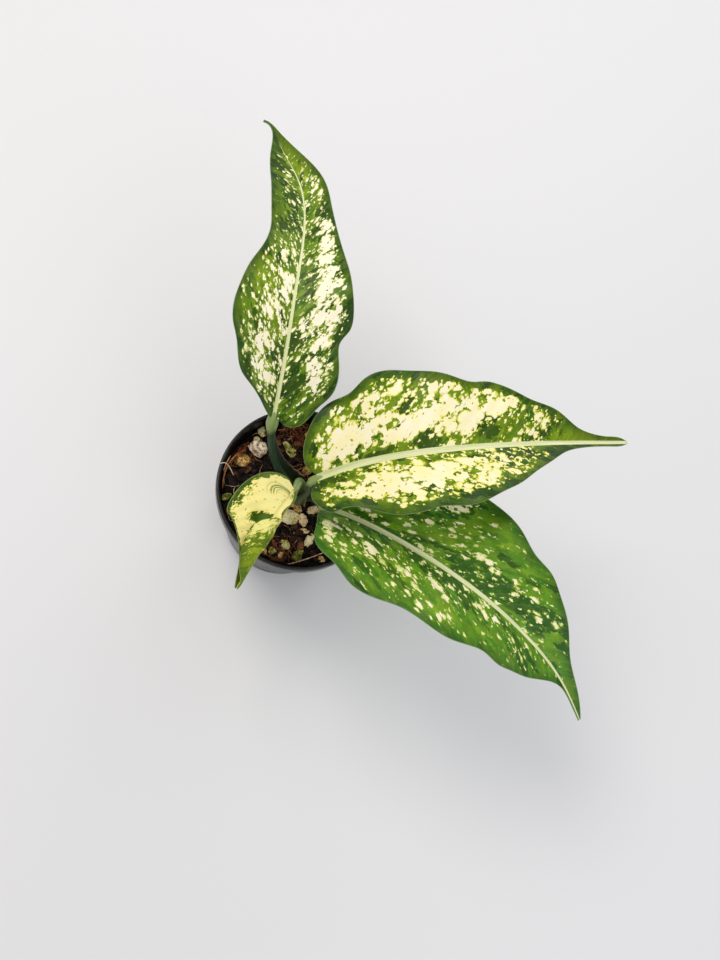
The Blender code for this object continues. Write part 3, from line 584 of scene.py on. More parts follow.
def blade_half(blade, leaf, side):
    """Rows of one blade half: upper face, its direction, and the notes its material reads."""
    curve = natural_curve(leaf["left" if side == 0 else "right"], MARGIN_SAMPLES)
    at = lengths(curve)
    part = np.linspace(0, 1, BLADE_ROWS + 1)
    margin = [np.interp(part * at[-1], at, curve[:, k])[:, None] for k in range(2)]
    centre = curve[-1, 0] * part[:, None] ** 1.1
    width = np.maximum(margin[1], 0.35)
    share = (np.arange(BLADE_COLUMNS + 1) / BLADE_COLUMNS) ** 1.25
    share[-2] = 0.5 * (share[-3] + 1)
    along = centre * (1 - share) + margin[0] * share
    reach = width * share
    across = reach * (1 - 2 * side)
    top, facing = blade.surface(along, reach, side)

    body = np.clip(along / blade.length, 0, 1)
    root = along - vein_lead(reach, leaf["lean"][side])
    grain = math.radians(leaf["grain"][side])
    over_spread, with_spread = leaf["spread"]
    over_grain = (reach * math.cos(grain) - along * math.sin(grain)) / over_spread
    with_grain = (along * math.cos(grain) + reach * math.sin(grain)) / with_spread
    edge = width - reach
    rib = blade.keyed(leaf["rib"], along)
    swell = smooth_step(reach, rib, rib + 5) * smooth_step(edge, 0.5, 6) * smooth_step(body, 0.98, 0.7)
    crease = creases(leaf.get("creases", []), along, across)
    hollow_along, hollow_across, wide, deep = leaf.get("hollow", (0, 0, 1, 0))
    away = np.hypot(along - hollow_along, across - hollow_across)
    hollow = deep * np.exp(-((away / wide) ** 2))
    quilt = 0.16 * np.cos(2 * np.pi * root / VEIN_SPACING + 2.1 * side) * swell
    groove = 0.3 * (1 - 0.7 * body) * np.exp(-((reach / (0.85 * np.maximum(rib, 0.2))) ** 4))
    return {
        "top": top + facing * (quilt - groove - crease - hollow)[..., None],
        "facing": facing,
        "body": body,
        "flat_place": np.stack([along, across, 0 * along], -1),
        "grain_place": np.stack([
            over_grain + HALVES_APART[0] * side, with_grain + HALVES_APART[1] * side, 0 * along], -1),
        "vein_mm": root,
        "edge_mm": edge,
        "rib_mm": reach - rib,
        "cream_share": cream_share(leaf, along, reach, side, edge, body),
        "deep_share": washed(leaf["depth"], leaf["deeper"], along, reach, side),
        "light_share": washed(leaf["sun"], leaf["sunnier"], along, reach, side),
        "warm_share": leaf["warmth"][side] + 0 * along,
        "crease_share": crease / CREASE_DEPTH,
    }


def washed(share, washes, along, reach, side):
    """A share that rises or falls in soft washes drawn out along the side veins."""
    share = np.full(along.shape, share)
    for wash_along, wash_across, wide, long, strength in washes:
        if (wash_across < 0) == (side == 1):
            over = reach - abs(wash_across)
            away = along - wash_along - 0.6 * over
            share = share + strength * np.exp(-((away / wide) ** 2) - (over / long) ** 2)
    return share


def creases(arcs, along, across):
    """Depth of the arched creases left by unrolling: each bends round the stem side of its centre."""
    depth = 0 * along
    for centre_along, centre_across, radius, deep in arcs:
        ahead, aside = along - centre_along, across - centre_across
        turn = np.degrees(np.arctan2(aside, -ahead))
        kept = smooth_step(turn, -150, -110) * smooth_step(turn, 88, 60)
        wander = 0.35 * roughness_of(np.stack([along, across, radius + 0 * along], -1), 6.0)
        off = np.hypot(ahead, aside) - radius + wander
        depth = depth + deep * kept * np.exp(-((off / 0.34) ** 2))
    return depth


def cream_share(leaf, along, reach, side, edge, body):
    """How much of the tissue is cream, fading out at the leaf's plain margin and tip."""
    share = washed(leaf["speckle"], leaf["washes"], along, reach, side)
    places = np.stack([along, reach * (1 - 2 * side), 0 * along], -1)
    band = leaf["plain_edge"][side] * (1 + 0.9 * roughness_of(places, 9.0))
    share *= smooth_step(edge, 0.5 * band, 1.7 * band)
    return share * smooth_step(body, 0.97, 0.8)


def grid_faces(rows, columns, first=0, flip=False):
    """Four-sided faces between the points of a grid."""
    here = first + np.arange((rows - 1) * columns).reshape(rows - 1, columns)[:, :-1].ravel()
    faces = np.stack([here, here + 1, here + columns + 1, here + columns], 1)
    return faces[:, ::-1] if flip else faces


def thin_sheet(top, under):
    """Points and faces of a closed thin sheet between two grids."""
    rows, columns = top.shape[:2]
    below = rows * columns
    edge = np.concatenate([
        np.arange(columns),
        np.arange(1, rows) * columns + columns - 1,
        (rows - 1) * columns + np.arange(columns - 2, -1, -1),
        np.arange(rows - 2, 0, -1) * columns,
    ])
    on = np.roll(edge, -1)
    faces = np.concatenate([
        grid_faces(rows, columns),
        grid_faces(rows, columns, below, flip=True),
        np.stack([edge, edge + below, on + below, on], 1),
    ])
    points = np.concatenate([top.reshape(-1, 3), under.reshape(-1, 3)])
    corners = points[faces]
    volume = np.einsum("ij,ij->", corners[:, 0], np.cross(corners[:, 1], corners[:, 2]))
    volume += np.einsum("ij,ij->", corners[:, 0], np.cross(corners[:, 2], corners[:, 3]))
    return points, [faces if volume > 0 else faces[:, ::-1]]


def make_blade(name, leaf, finish, slot):
    """A leaf blade with sunk midrib, soft quilting between veins, a thin margin and a keel below."""
    blade = Blade(leaf)
    left = blade_half(blade, leaf, 0)
    right = blade_half(blade, leaf, 1)
    middle = unit(left["facing"][:, 0] + right["facing"][:, 0])
    whole = {key: np.concatenate([right[key][:, ::-1], left[key][:, 1:]], 1) for key in left}
    top, facing, body = (whole.pop(key) for key in ("top", "facing", "body"))
    facing[:, BLADE_COLUMNS] = middle
    thick = BLADE_THICKNESS * (0.35 + 0.65 * smooth_step(whole["edge_mm"], 0, 0.9))
    across = whole["flat_place"][..., 1]
    keel = KEEL_DEPTH * (1 - 0.75 * body) * np.exp(-((across / KEEL_WIDTH) ** 2))
    points, faces = thin_sheet(top, top - facing * (thick + keel)[..., None])
    notes = {note: np.concatenate([v.reshape(-1, *v.shape[2:])] * 2) for note, v in whole.items()}
    notes["upper_face"] = np.repeat([1.0, 0.0], body.size)
    piece = new_piece("leaf_" + name, points, faces, finish, notes)
    place_on_plant(piece, slot, "blade_" + name)
    return blade


LEAF_LOOK = {
    # hex colours: deep green, leaf green and yellow green; halo and cream, cool then warm
    "greens": ("#123507", "#34620c", "#7c970b"),
    "halo": ("#b4c268", "#e6e252"),
    "cream": ("#fdf5d9", "#fdf2b2"),
    "rib": ("#d4dba0", "#ecedc0"),
    "edge": "#87a266",
    "under": "#6c9150",
    "spot": (1.6, 3.0),
    "below": 0.32,
}
# the lowest leaf is older and lies in shade: fuller, cooler greens, made brighter than the others as
# painted light
LOWER_BRIGHTENED_LOOK = {**LEAF_LOOK, "greens": ("#1b4a10", "#478019", "#7aa01c"), "halo": ("#c3d67c", "#dde27a")}
YOUNG_LOOK = {
    "greens": ("#2c5000", "#5c7c04", "#98a41a"),
    "halo": ("#d9d86a", "#dcd85a"),
    "cream": ("#fdf6ae", "#fdf09a"),
    "rib": ("#e6dc8c", "#f0e89e"),
    "edge": "#9aa664",
    "under": "#7f9c1c",
    "spot": (0.85, 2.1),
    "below": 0.8,
}
# clones of pale cells: size against the single spot, growth with the cream share, and the share
# of the pattern's cells that stay green
CLONES = [(2.3, 2.0, 1.52), (1.2, 1.15, 0.98), (0.62, 1.0, 1.0)]


def leaf_finish(name, look, seed):
    """Living aroid leaf. A waxy skin over soft tissue gives broad, milky highlights; clones of cells
    without green give cream patches drawn out along the side veins, each with a yellow-green border."""
    made, add, shader = surface(name, IOR=1.45, Specular_IOR_Level=0.22, Coat_Weight=0.04,
                                Coat_Roughness=0.3)
    flat = add("Attribute", out=1, attribute_name="flat_place")
    grain = add("Attribute", out=1, attribute_name="grain_place")
    vein, edge, rib, creamness, deepness, lightness, warm, crease, upper_face = (
        add("Attribute", out=2, attribute_name=note) for note in (
            "vein_mm", "edge_mm", "rib_mm", "cream_share", "deep_share", "light_share", "warm_share",
            "crease_share", "upper_face"))

    # ragged borders: every pattern below is read at places shifted by up to a millimetre
    shift = add("TexNoise 2D", grain, Scale=0.5, Detail=2.5, Roughness=0.6, out=1)
    grain = add("VectorMath MULTIPLY_ADD", shift, (1.9, 2.4, 0), grain)
    ragged = add("TexNoise 2D", flat, Scale=1.5, Detail=2.0, Roughness=0.7)

    # each clone grows from the middle of its cell of the pattern and stops at its neighbours
    across, along = look["spot"]
    pale = None
    for size, gain, limit in CLONES:
        place = add("Mapping", grain, Location=(7 * size + seed, 0, 0),
                    Scale=(1 / (across * size), 1 / (along * size), 1))
        away = add("TexVoronoi 2D", place, Scale=1.0)
        chance = add("SeparateColor", away.node.outputs["Color"])
        chance = add("Math MULTIPLY_ADD", creamness, gain, chance)
        grown = add("Math MULTIPLY_ADD", chance, 1.3, -1.3 * limit)
        clone = add("Math SUBTRACT", grown, away)
        pale = add("Math MAXIMUM", pale, clone) if pale else clone

    # flecks of green left inside the cream
    place = add("Mapping", grain, Location=(seed, 7, 0), Scale=(1 / 1.2, 1 / 2.0, 1))
    away = add("TexVoronoi 2D", place, Scale=1.0)
    fleck = add("SeparateColor", away.node.outputs["Color"], out=1)
    fleck = add("Math MULTIPLY_ADD", fleck, -1.5, 0.82)
    fleck = add("Math MULTIPLY_ADD", creamness, 0.45, fleck)
    fleck = add("Math ADD", away, fleck)
    pale = add("Math MINIMUM", pale, fleck)
    jag = add("Math MULTIPLY_ADD", ragged, 0.24, -0.12)
    pale = add("Math ADD", pale, jag)

    # green tissue: deep patches with fairly sharp, stepped borders over lighter green
    deep, leaf_green, yellow_green = look["greens"]
    steps = add("Mapping", grain, Scale=(1 / 1.6, 1 / 5.0, 1))
    steps = add("TexVoronoi 2D", steps, Scale=1.0, out=2)
    layers = []
    for wide, offset in ((3.2, seed), (1.6, seed + 5)):
        place = add("Mapping", steps, Location=(0, offset, 0), Scale=(1 / wide, 1 / wide, 1))
        layers.append(add("TexNoise 2D", place, Scale=1.0, Detail=2.0, Roughness=0.55))
    layer = add("Math MULTIPLY_ADD", deepness, 0.42, layers[0])
    deeper = add("MapRange SMOOTHSTEP", layer, 0.66, 0.72)
    light = add("Math MULTIPLY_ADD", lightness, 0.6, layers[1])
    lighter = add("MapRange", light, 0.5, 1.0)
    green = add("MixRGB", lighter, leaf_green, yellow_green)
    deeper = add("Math MULTIPLY", deeper, 0.75)
    green = add("MixRGB", deeper, green, deep)
    margin = add("MapRange", edge, 0.3, 6.5, 0.65, 0.0)
    green = add("MixRGB", margin, green, deep)
    tone = add("TexNoise 2D", grain, Scale=0.22, Detail=4.0, Roughness=0.6)
    tone = add("MapRange", tone, 0.3, 0.7, 0.78, 1.2)
    cells = add("TexVoronoi 2D", flat, Scale=2.6, out=1)
    cells = add("SeparateColor", cells)
    cells = add("MapRange", cells, 0, 1, 0.9, 1.1)
    tone = add("Math MULTIPLY", tone, cells)
    green = add("MixRGB MULTIPLY", 1.0, green, tone)

    # from green through a yellow-green fringe and a yellower halo to cream
    warmth = add("TexNoise 2D", grain, Scale=0.16, Detail=3.0)
    warmth = add("Math MULTIPLY_ADD", warm, 0.7, warmth)
    warmth = add("MapRange", warmth, 0.6, 1.15)
    cream = add("MixRGB", warmth, look["cream"][0], look["cream"][1])
    yellower = add("Math MULTIPLY", warm, 1.6, use_clamp=True)
    halo = add("MixRGB", yellower, look["halo"][0], look["halo"][1])
    fringe = add("MapRange SMOOTHSTEP", pale, -0.3, -0.04)
    shown = add("Math MULTIPLY_ADD", warm, 0.8, 0.3, use_clamp=True)
    fringe = add("Math MULTIPLY", fringe, shown)
    tissue = add("MixRGB", fringe, green, yellow_green)
    haloed = add("MapRange SMOOTHSTEP", pale, -0.08, 0.0)
    tissue = add("MixRGB", haloed, tissue, halo)
    creamy = add("MapRange SMOOTHSTEP", pale, 0.04, 0.13)
    tissue = add("MixRGB", creamy, tissue, cream)

    # unrolled creases show as thin darker lines
    creased = add("MapRange", crease, 0.15, 0.8, 0, 0.8)
    tissue = add("MixRGB", creased, tissue, leaf_green)

    # side veins: thin lines a shade paler, one each 7 mm
    line = add("Math PINGPONG", vein, VEIN_SPACING / 2)
    line = add("MapRange SMOOTHSTEP", line, 0.0, 0.9, 1.0, 0.0)
    shown = add("Math MULTIPLY", line, 0.04)
    tissue = add("MixRGB", shown, tissue, look["rib"][0])

    # midrib: a pale band with fine lengthwise strands
    strands = add("Mapping", flat, Scale=(0.05, 3.0, 1))
    strands = add("TexNoise 2D", strands, Scale=1.0, Detail=2.0)
    strands = add("MapRange", strands, 0.35, 0.65)
    band = add("MixRGB", strands, look["rib"][0], look["rib"][1])
    ragged = add("Math MULTIPLY_ADD", ragged, 0.3, -0.15)
    rib = add("Math ADD", rib, ragged)
    ribbed = add("MapRange SMOOTHSTEP", rib, -0.22, 0.1, 1.0, 0.0)
    tissue = add("MixRGB", ribbed, tissue, band)

    # the very margin is a thin, clear line
    rim = add("MapRange SMOOTHSTEP", edge, 0.1, 0.4, 0.6, 0.0)
    tissue = add("MixRGB", rim, tissue, look["edge"])

    # underside: the same markings seen faintly through paler, duller tissue
    below = add("MixRGB", look["below"], look["under"], tissue)
    colour = add("MixRGB", upper_face, below, tissue)

    # gloss: wax on the upper face, dulled a little over cream and below
    wax = add("TexNoise 2D", flat, Scale=0.35, Detail=3.0)
    wax = add("MapRange", wax, 0.3, 0.7, 0.32, 0.46)
    wax = add("Math MULTIPLY_ADD", creamy, 0.07, wax)
    dull = add("Math SUBTRACT", 1.0, upper_face)
    wax = add("Math MULTIPLY_ADD", dull, 0.22, wax)

    # relief: side veins slightly sunk, cream patches slightly thinner, and the grain of the skin
    skin = add("TexNoise 2D", flat, Scale=2.2, Detail=3.0, Roughness=0.6)
    height = add("Math MULTIPLY_ADD", line, -0.5, skin)
    height = add("Math MULTIPLY_ADD", creamy, -0.35, height)
    bump = add("Bump", Height=height, Strength=0.35, Distance=0.12 * MM)
    fill(shader, {"Base Color": colour, "Roughness": wax, "Normal": bump})
    return made


# Stalks


def petiole_line(petiole, blade):
    """Centres, directions and share of length of a petiole that runs on under its midrib."""
    path, radii = petiole[:2]
    up = blade.frame(np.array([0.0]))[1][0]
    joint = blade.midrib(np.array([0.0]))[0] - up * ROOT_DROP
    curve = natural_curve([*path, *[joint - blade.start * back for back in (3.0, GAP)]], CURVE_SAMPLES)
    along = np.linspace(0.4, 15, 50)
    drop = ROOT_DROP + 1.0 * smooth_step(along, 0, 5) - 1.2 * smooth_step(along, 6, 15)
    under = blade.midrib(along) - blade.frame(along)[1] * drop[:, None]
    whole = np.concatenate([curve, under])
    at = lengths(whole)
    joint_at = at[CURVE_SAMPLES - 1]
    wanted = np.linspace(0, at[-1], PETIOLE_RINGS)
    centres = np.stack([np.interp(wanted, at, whole[:, k]) for k in range(3)], -1)
    forwards = unit(np.gradient(centres, axis=0))
    part = wanted / joint_at
    past = (wanted - joint_at) / (at[-1] - joint_at)
    radius = np.interp(part, [0, 0.35, 0.8, 0.95, 1.0], radii)
    radius = np.where(past > 0, np.interp(past, [0, 0.2, 1], [radii[-1], 1.1, 0.25]), radius)
    return centres, forwards, part, radius, wanted


def make_petiole(name, petiole, blade, finish):
    """A stalk with a shallow channel on its inner side, swollen where it meets the blade."""
    centres, forwards, part, radius, along = petiole_line(petiole, blade)
    angle = 2 * np.pi * np.arange(PETIOLE_SIDES) / PETIOLE_SIDES
    inner = unit(STEM_SIDE - centres) * [1, 1, 0] + [1e-3, 0, 0.2]
    channel = smooth_step(part, 0.05, 0.25) * smooth_step(part, 1.04, 0.92)
    dent = CHANNEL_DEPTH * np.exp(-((np.minimum(angle, 2 * np.pi - angle) / 0.55) ** 2))
    grain = 0.05 * np.cos(9 * angle + 1.3) + 0.03 * np.cos(23 * angle)
    radial = radius[:, None] * (1 - channel[:, None] * dent + 0.35 * grain)
    sections = radial[..., None] * circle(PETIOLE_SIDES)
    points, faces = ring_tube(centres, forwards, inner, sections)
    round_place = np.append(6 * np.tile(circle(PETIOLE_SIDES), (len(centres), 1)), [(0, 0)] * 2, 0)
    along_ends, part_ends = (
        np.append(np.repeat(v, PETIOLE_SIDES), [v[0], v[-1]]) for v in (along, part))
    notes = {
        "stalk_place": np.column_stack([along_ends, round_place]),
        "stalk_share": part_ends,
        "margin_mm": np.full(len(points), FAR_FROM_MARGIN),
        "paleness": np.full(len(points), petiole[3]),
    }
    stalk = new_piece("stalk_" + name, points, faces, finish, notes)
    place_on_plant(stalk, "petiole_green", "petiole_" + name)
    for number, wing in enumerate(petiole[2]):
        make_sheath(f"sheath_{name}_{number + 1}", centres, forwards, part, radius, along, wing, finish)


def make_sheath(name, centres, forwards, part, radius, along, wing, finish):
    """The thin margin of a sheath, rising from the stalk and curling round towards the stem."""
    turn, width, stop = wing
    direction = np.array([math.cos(math.radians(turn)), math.sin(math.radians(turn)), 0.0])
    keep = part <= stop
    centres, forwards, part, radius, along = (v[keep] for v in (centres, forwards, part, radius, along))
    sideways = unit(direction - forwards * (forwards @ direction)[:, None])
    inward = unit(np.cross(forwards, sideways))
    inward *= np.sign(np.einsum("ij,ij->i", inward, [0, 0, 50.0] - centres))[:, None]
    reach = radius + width * (1.02 - part / stop) * (1 + 0.05 * np.sin(along * 1.1))
    share = np.linspace(0, 1, 15)
    out = 0.3 + (reach[:, None] - 0.3) * share
    curl = 0.22 * np.maximum(reach - radius, 0.2)[:, None] * share**2
    sheet = centres[:, None] + sideways[:, None] * out[..., None] + inward[:, None] * curl[..., None]
    thick = WING_THICKNESS * (1 - 0.6 * share**3) / 2
    rows = np.gradient(sheet, axis=0)
    across = np.gradient(sheet, axis=1)
    offset = unit(np.cross(rows, across)) * thick[None, :, None]
    points, faces = thin_sheet(sheet + offset, sheet - offset)
    margin = (reach[:, None] * (1 - share)).ravel()
    spread = out.ravel()
    length = np.repeat(along, len(share))
    notes = {
        "stalk_place": np.tile(np.stack([length, 6 + spread, 0 * spread], 1), (2, 1)),
        "stalk_share": np.tile(np.repeat(part, len(share)), 2),
        "margin_mm": np.tile(margin, 2),
        # sheaths carry a note that darkens them to nearly black: painted shade
        "sheath_painted_shade": np.full(len(points), 1.0),
    }
    place_on_plant(new_piece(name, points, faces, finish, notes), "petiole_green")


def stalk_finish(name):
    """Fleshy petiole. Tight, smooth skin gives a soft gloss over deep bluish green; it is paler at
    the foot and neck, finely streaked lengthwise, and its sheath ends in a thin, dry, pale edge."""
    made, add, shader = surface(name, IOR=1.45, Coat_Weight=0.1, Coat_Roughness=0.3)
    place = add("Attribute", out=1, attribute_name="stalk_place")
    share = add("Attribute", out=2, attribute_name="stalk_share")
    margin = add("Attribute", out=2, attribute_name="margin_mm")
    streaks = add("Mapping", place, Scale=(0.12, 0.9, 0.9))
    streaks = add("TexNoise", streaks, Scale=1.0, Detail=4.0, Roughness=0.65)
    colour = add("ValToRGB", streaks,
                 stops=[(0.3, "#15241a"), (0.5, "#283f2c"), (0.62, "#3a5534"), (0.78, "#66824a")])
    neck = add("MapRange SMOOTHSTEP", share, 0.82, 0.93)
    pale = add("Attribute", out=2, attribute_name="paleness")
    neck = add("Math MULTIPLY_ADD", neck, 0.8, pale, use_clamp=True)
    colour = add("MixRGB", neck, colour, "#8ea35c")
    foot = add("MapRange", share, 0.0, 0.25, 0.45, 0.0)
    colour = add("MixRGB", foot, colour, "#7d8f5c")
    freckle = add("Mapping", place, Scale=(0.9, 1.6, 1.6))
    freckle = add("TexVoronoi", freckle, Scale=1.0)
    freckle = add("MapRange", freckle, 0.1, 0.26, 0.5, 0.0)
    colour = add("MixRGB", freckle, colour, "#86a566")
    # sheaths are darkened towards nearly black: painted shade of the gap between stalk and stem
    sheath_painted_shade = add("Attribute", out=2, attribute_name="sheath_painted_shade")
    sheath_painted_shade = add("Math MULTIPLY", sheath_painted_shade, 0.8)
    colour = add("MixRGB", sheath_painted_shade, colour, "#10180a")
    dry = add("MapRange SMOOTHSTEP", margin, 0.25, 0.9, 0.9, 0.0)
    foot = add("MapRange", share, 0.1, 0.3, 1.0, 0.25)
    dry = add("Math MULTIPLY", dry, foot)
    dry_noise = add("TexNoise", place, Scale=0.5, Detail=2.0)
    dry_colour = add("ValToRGB", dry_noise,
                     stops=[(0.35, "#9aa77c"), (0.5, "#b98f78"), (0.65, "#8a5f4c")])
    colour = add("MixRGB", dry, colour, dry_colour)
    gloss = add("MapRange", streaks, 0.3, 0.7, 0.34, 0.5)
    bump = add("Bump", Height=streaks, Strength=0.5, Distance=0.15 * MM)
    fill(shader, {"Base Color": colour, "Roughness": gloss, "Normal": bump})
    return made


def make_stem(finish):
    """The short upright stem, ringed by the scars of fallen sheaths."""
    profile = [(0, STEM_FOOT)]
    for z in np.linspace(STEM_FOOT, STEM_TOP, STEM_RINGS):
        scar = 0.22 * math.exp(-(((z % SCAR_SPACING) - 1.5) / 0.35) ** 2)
        rounded = smooth_step(z, STEM_TOP, STEM_TOP - 1.6) ** 0.5
        rounded *= smooth_step(z, STEM_FOOT - 0.01, STEM_FOOT + 1) ** 0.5
        radius = STEM_RADIUS - 0.15 - 0.3 * smooth_step(z, 64, 72) - scar
        profile.append((radius * max(rounded, 0.05), z))
    profile.append((0, STEM_TOP))
    points, faces = revolve(profile, STEM_SIDES)
    points[:, :2] *= 1 + 0.02 * np.cos(3 * np.arctan2(points[:, 1], points[:, 0]))[:, None]
    notes = {
        "stalk_place": (points - [0, 0, STEM_FOOT])[:, [2, 0, 1]] * [1, 1.5, 1.5],
        "stalk_share": np.full(len(points), 0.3),
        "margin_mm": np.full(len(points), FAR_FROM_MARGIN),
    }
    place_on_plant(new_piece("stem_scarred", points, faces, finish, notes), "stem_green", "stem")


# Potting mix


def soil_lumps(rng):
    """Hills and hollows of the mix: x, y, width and height of each."""
    lumps = []
    for _ in range(SOIL_LUMPS):
        angle = rng.uniform(0, 2 * math.pi)
        reach = 31 * math.sqrt(rng.random())
        rise = rng.uniform(-1.2, 1.3)
        lumps.append((reach * math.cos(angle), reach * math.sin(angle), rng.uniform(3, 6), rise))
    return lumps


def soil_height(x, y, lumps):
    """Height of the loose surface, as in the part's source."""
    height = SOIL_LEVEL + SOIL_CROWN * (1 - (x * x + y * y) / WALL_TOP_RADIUS**2)
    for lump_x, lump_y, size, rise in lumps:
        height = height + rise * np.exp(-((x - lump_x) ** 2 + (y - lump_y) ** 2) / size**2)
    return height


def make_soil(lumps, finish):
    """The bed of peat: a crumbled top over a plain side and foot, filling the pot."""
    slope = (WALL_TOP_RADIUS - BASE_RADIUS) / (POT_HEIGHT - RIM_BAND)
    foot = WALL + 0.3
    foot_radius = BASE_RADIUS - WALL - 0.4
    side = [(foot_radius - 0.8, foot), (foot_radius, foot + 1.2), (foot_radius + slope * 55, 57.5)]
    ring = circle(SOIL_SIDES)
    reach = SOIL_REACH * (1 - np.arange(SOIL_RINGS) / SOIL_RINGS) ** 0.8
    flat = np.insert(reach[:, None, None] * ring, 2, 0, -1)
    height = soil_height(flat[..., 0], flat[..., 1], lumps)
    height += 1.1 * roughness_of(flat, 3.2) + 0.5 * roughness_of(flat + 50, 1.1) - 0.3
    flat[..., 2] = height
    walls = [np.insert(radius * ring, 2, level, 1) for radius, level in side]
    ends = [(0, 0, foot), (0, 0, soil_height(0.0, 0.0, lumps))]
    points = np.concatenate([*walls, flat.reshape(-1, 3), ends])
    faces = ring_faces(len(side) + SOIL_RINGS, SOIL_SIDES)
    notes = {"grain_tone": np.full(len(points), 0.25)}
    place_on_plant(new_piece("peat_bed", points, faces, finish, notes), "potting_mix", "potting_mix")


def round_body(detail):
    """Points and faces of a ball of triangles, radius 1."""
    body = bmesh.new()
    bmesh.ops.create_icosphere(body, subdivisions=detail, radius=1.0)
    points = np.array([v.co for v in body.verts])
    faces = np.array([[v.index for v in f.verts] for f in body.faces])
    body.free()
    return points, faces


def pressed_inside(points):
    """Loose grains that touch the pot's wall stop at its inner face."""
    height = np.clip(points[:, 2], 0, POT_HEIGHT - RIM_BAND)
    widening = (WALL_TOP_RADIUS - BASE_RADIUS) * height / (POT_HEIGHT - RIM_BAND)
    far = np.maximum(np.hypot(points[:, 0], points[:, 1]), 1.0)
    kept = np.minimum(1, (BASE_RADIUS - WALL - 0.4 + widening) / far)
    return points * np.stack([kept, kept, 1 + 0 * far], 1)


def scatter(name, detail, grains, finish, shape):
    """Many loose grains as one piece. Each grain: centre, half-sizes, turn matrix and tone."""
    ball, faces = round_body(detail)
    points, tones = [], []
    for number, (centre, sizes, turn, tone) in enumerate(grains):
        points.append(shape(ball, number) * sizes @ np.array(turn).T + centre)
        tones.append(np.full(len(ball), tone))
    shifts = np.arange(len(grains))[:, None, None] * len(ball)
    points = pressed_inside(np.concatenate(points))
    notes = {"grain_tone": np.concatenate(tones)}
    piece = new_piece(name, points, [(faces + shifts).reshape(-1, 3)], finish, notes)
    place_on_plant(piece, "potting_mix")


def spin(rng, tilt=math.pi):
    """A turn about z, then a tilt of up to the given angle."""
    turn = Matrix.Rotation(rng.uniform(0, 2 * math.pi), 3, "Z")
    lean = Matrix.Rotation(rng.uniform(-tilt, tilt), 3, (rng.uniform(-1, 1), rng.uniform(-1, 1), 0.1))
    return lean @ turn


def spots_on_mix(rng, count, clear, reach):
    """Random places on the mix, clear of the pumice by the given distance and of the stem."""
    spots = []
    while len(spots) < count:
        angle = rng.uniform(0, 2 * math.pi)
        far = reach * math.sqrt(rng.random())
        x, y = far * math.cos(angle), far * math.sin(angle)
        off_pumice = all(math.hypot(x - p[0], y - p[1]) > p[3] + clear for p in PUMICE)
        if far > STEM_CLEARANCE and off_pumice:
            spots.append((x, y))
    return spots


def make_grit(lumps, finishes):
    """Crumbs of peat, chips of bark, pumice stones and coir fibres lying on the bed."""
    rng = random.Random(21)
    crumbs = []
    for x, y in spots_on_mix(rng, CRUMBS, -1.2, 34.4):
        size = 0.28 + 0.95 * rng.random() ** 2.6
        sizes = [size * rng.uniform(0.7, 1.3) for _ in range(3)]
        centre = (x, y, soil_height(x, y, lumps) + 0.2 * size)
        crumbs.append((centre, sizes, spin(rng), rng.random()))
    ball = round_body(2)[0]
    roughs = [1 + 0.55 * roughness_of(ball + 7 * k, 0.9)[:, None] for k in range(CRUMB_SHAPES)]
    scatter("peat_crumbs", 2, crumbs, finishes["peat"],
            lambda ball, number: ball * roughs[number % CRUMB_SHAPES])

    chips = []
    for x, y in spots_on_mix(rng, CHIPS, 0.6, 32.5):
        sizes = (rng.uniform(1.5, 3.6), rng.uniform(0.7, 1.7), rng.uniform(0.3, 0.8))
        centre = (x, y, soil_height(x, y, lumps) + 0.35)
        chips.append((centre, sizes, spin(rng, 0.5), rng.random()))
    ball = round_body(4)[0]
    boxy = np.sign(ball) * np.abs(ball) ** 0.62
    strands = ball * [0.5, 2.2, 2.2]
    ridges = [
        (1 + 0.5 * roughness_of(strands + 5 * k, 0.9))[:, None] * boxy for k in range(CHIP_SHAPES)
    ]
    scatter("bark_chips", 4, chips, finishes["bark"], lambda ball, number: ridges[number % CHIP_SHAPES])

    ball = round_body(5)[0]
    for tint in PUMICE_TINTS:
        stones = []
        for x, y, long_size, wide_size, turn, own_tint in PUMICE:
            if own_tint == tint:
                centre = (x, y, soil_height(x, y, lumps) + 0.15 * wide_size)
                sizes = (long_size, wide_size, 0.8 * wide_size)
                turned = Matrix.Rotation(math.radians(turn), 3, "Z")
                stones.append((centre, sizes, turned, rng.random()))
        pits = []
        for k in range(len(stones)):
            lumpy = 0.3 * roughness_of(ball + 9 * k + len(tint), 1.0)
            pits.append((1 + lumpy - 0.05 * np.abs(roughness_of(ball + 3 * k, 0.16)))[:, None])
        scatter("pumice_" + tint, 5, stones, finishes[tint], lambda ball, number: ball * pits[number])

    make_fibres(lumps, rng, finishes["coir"])


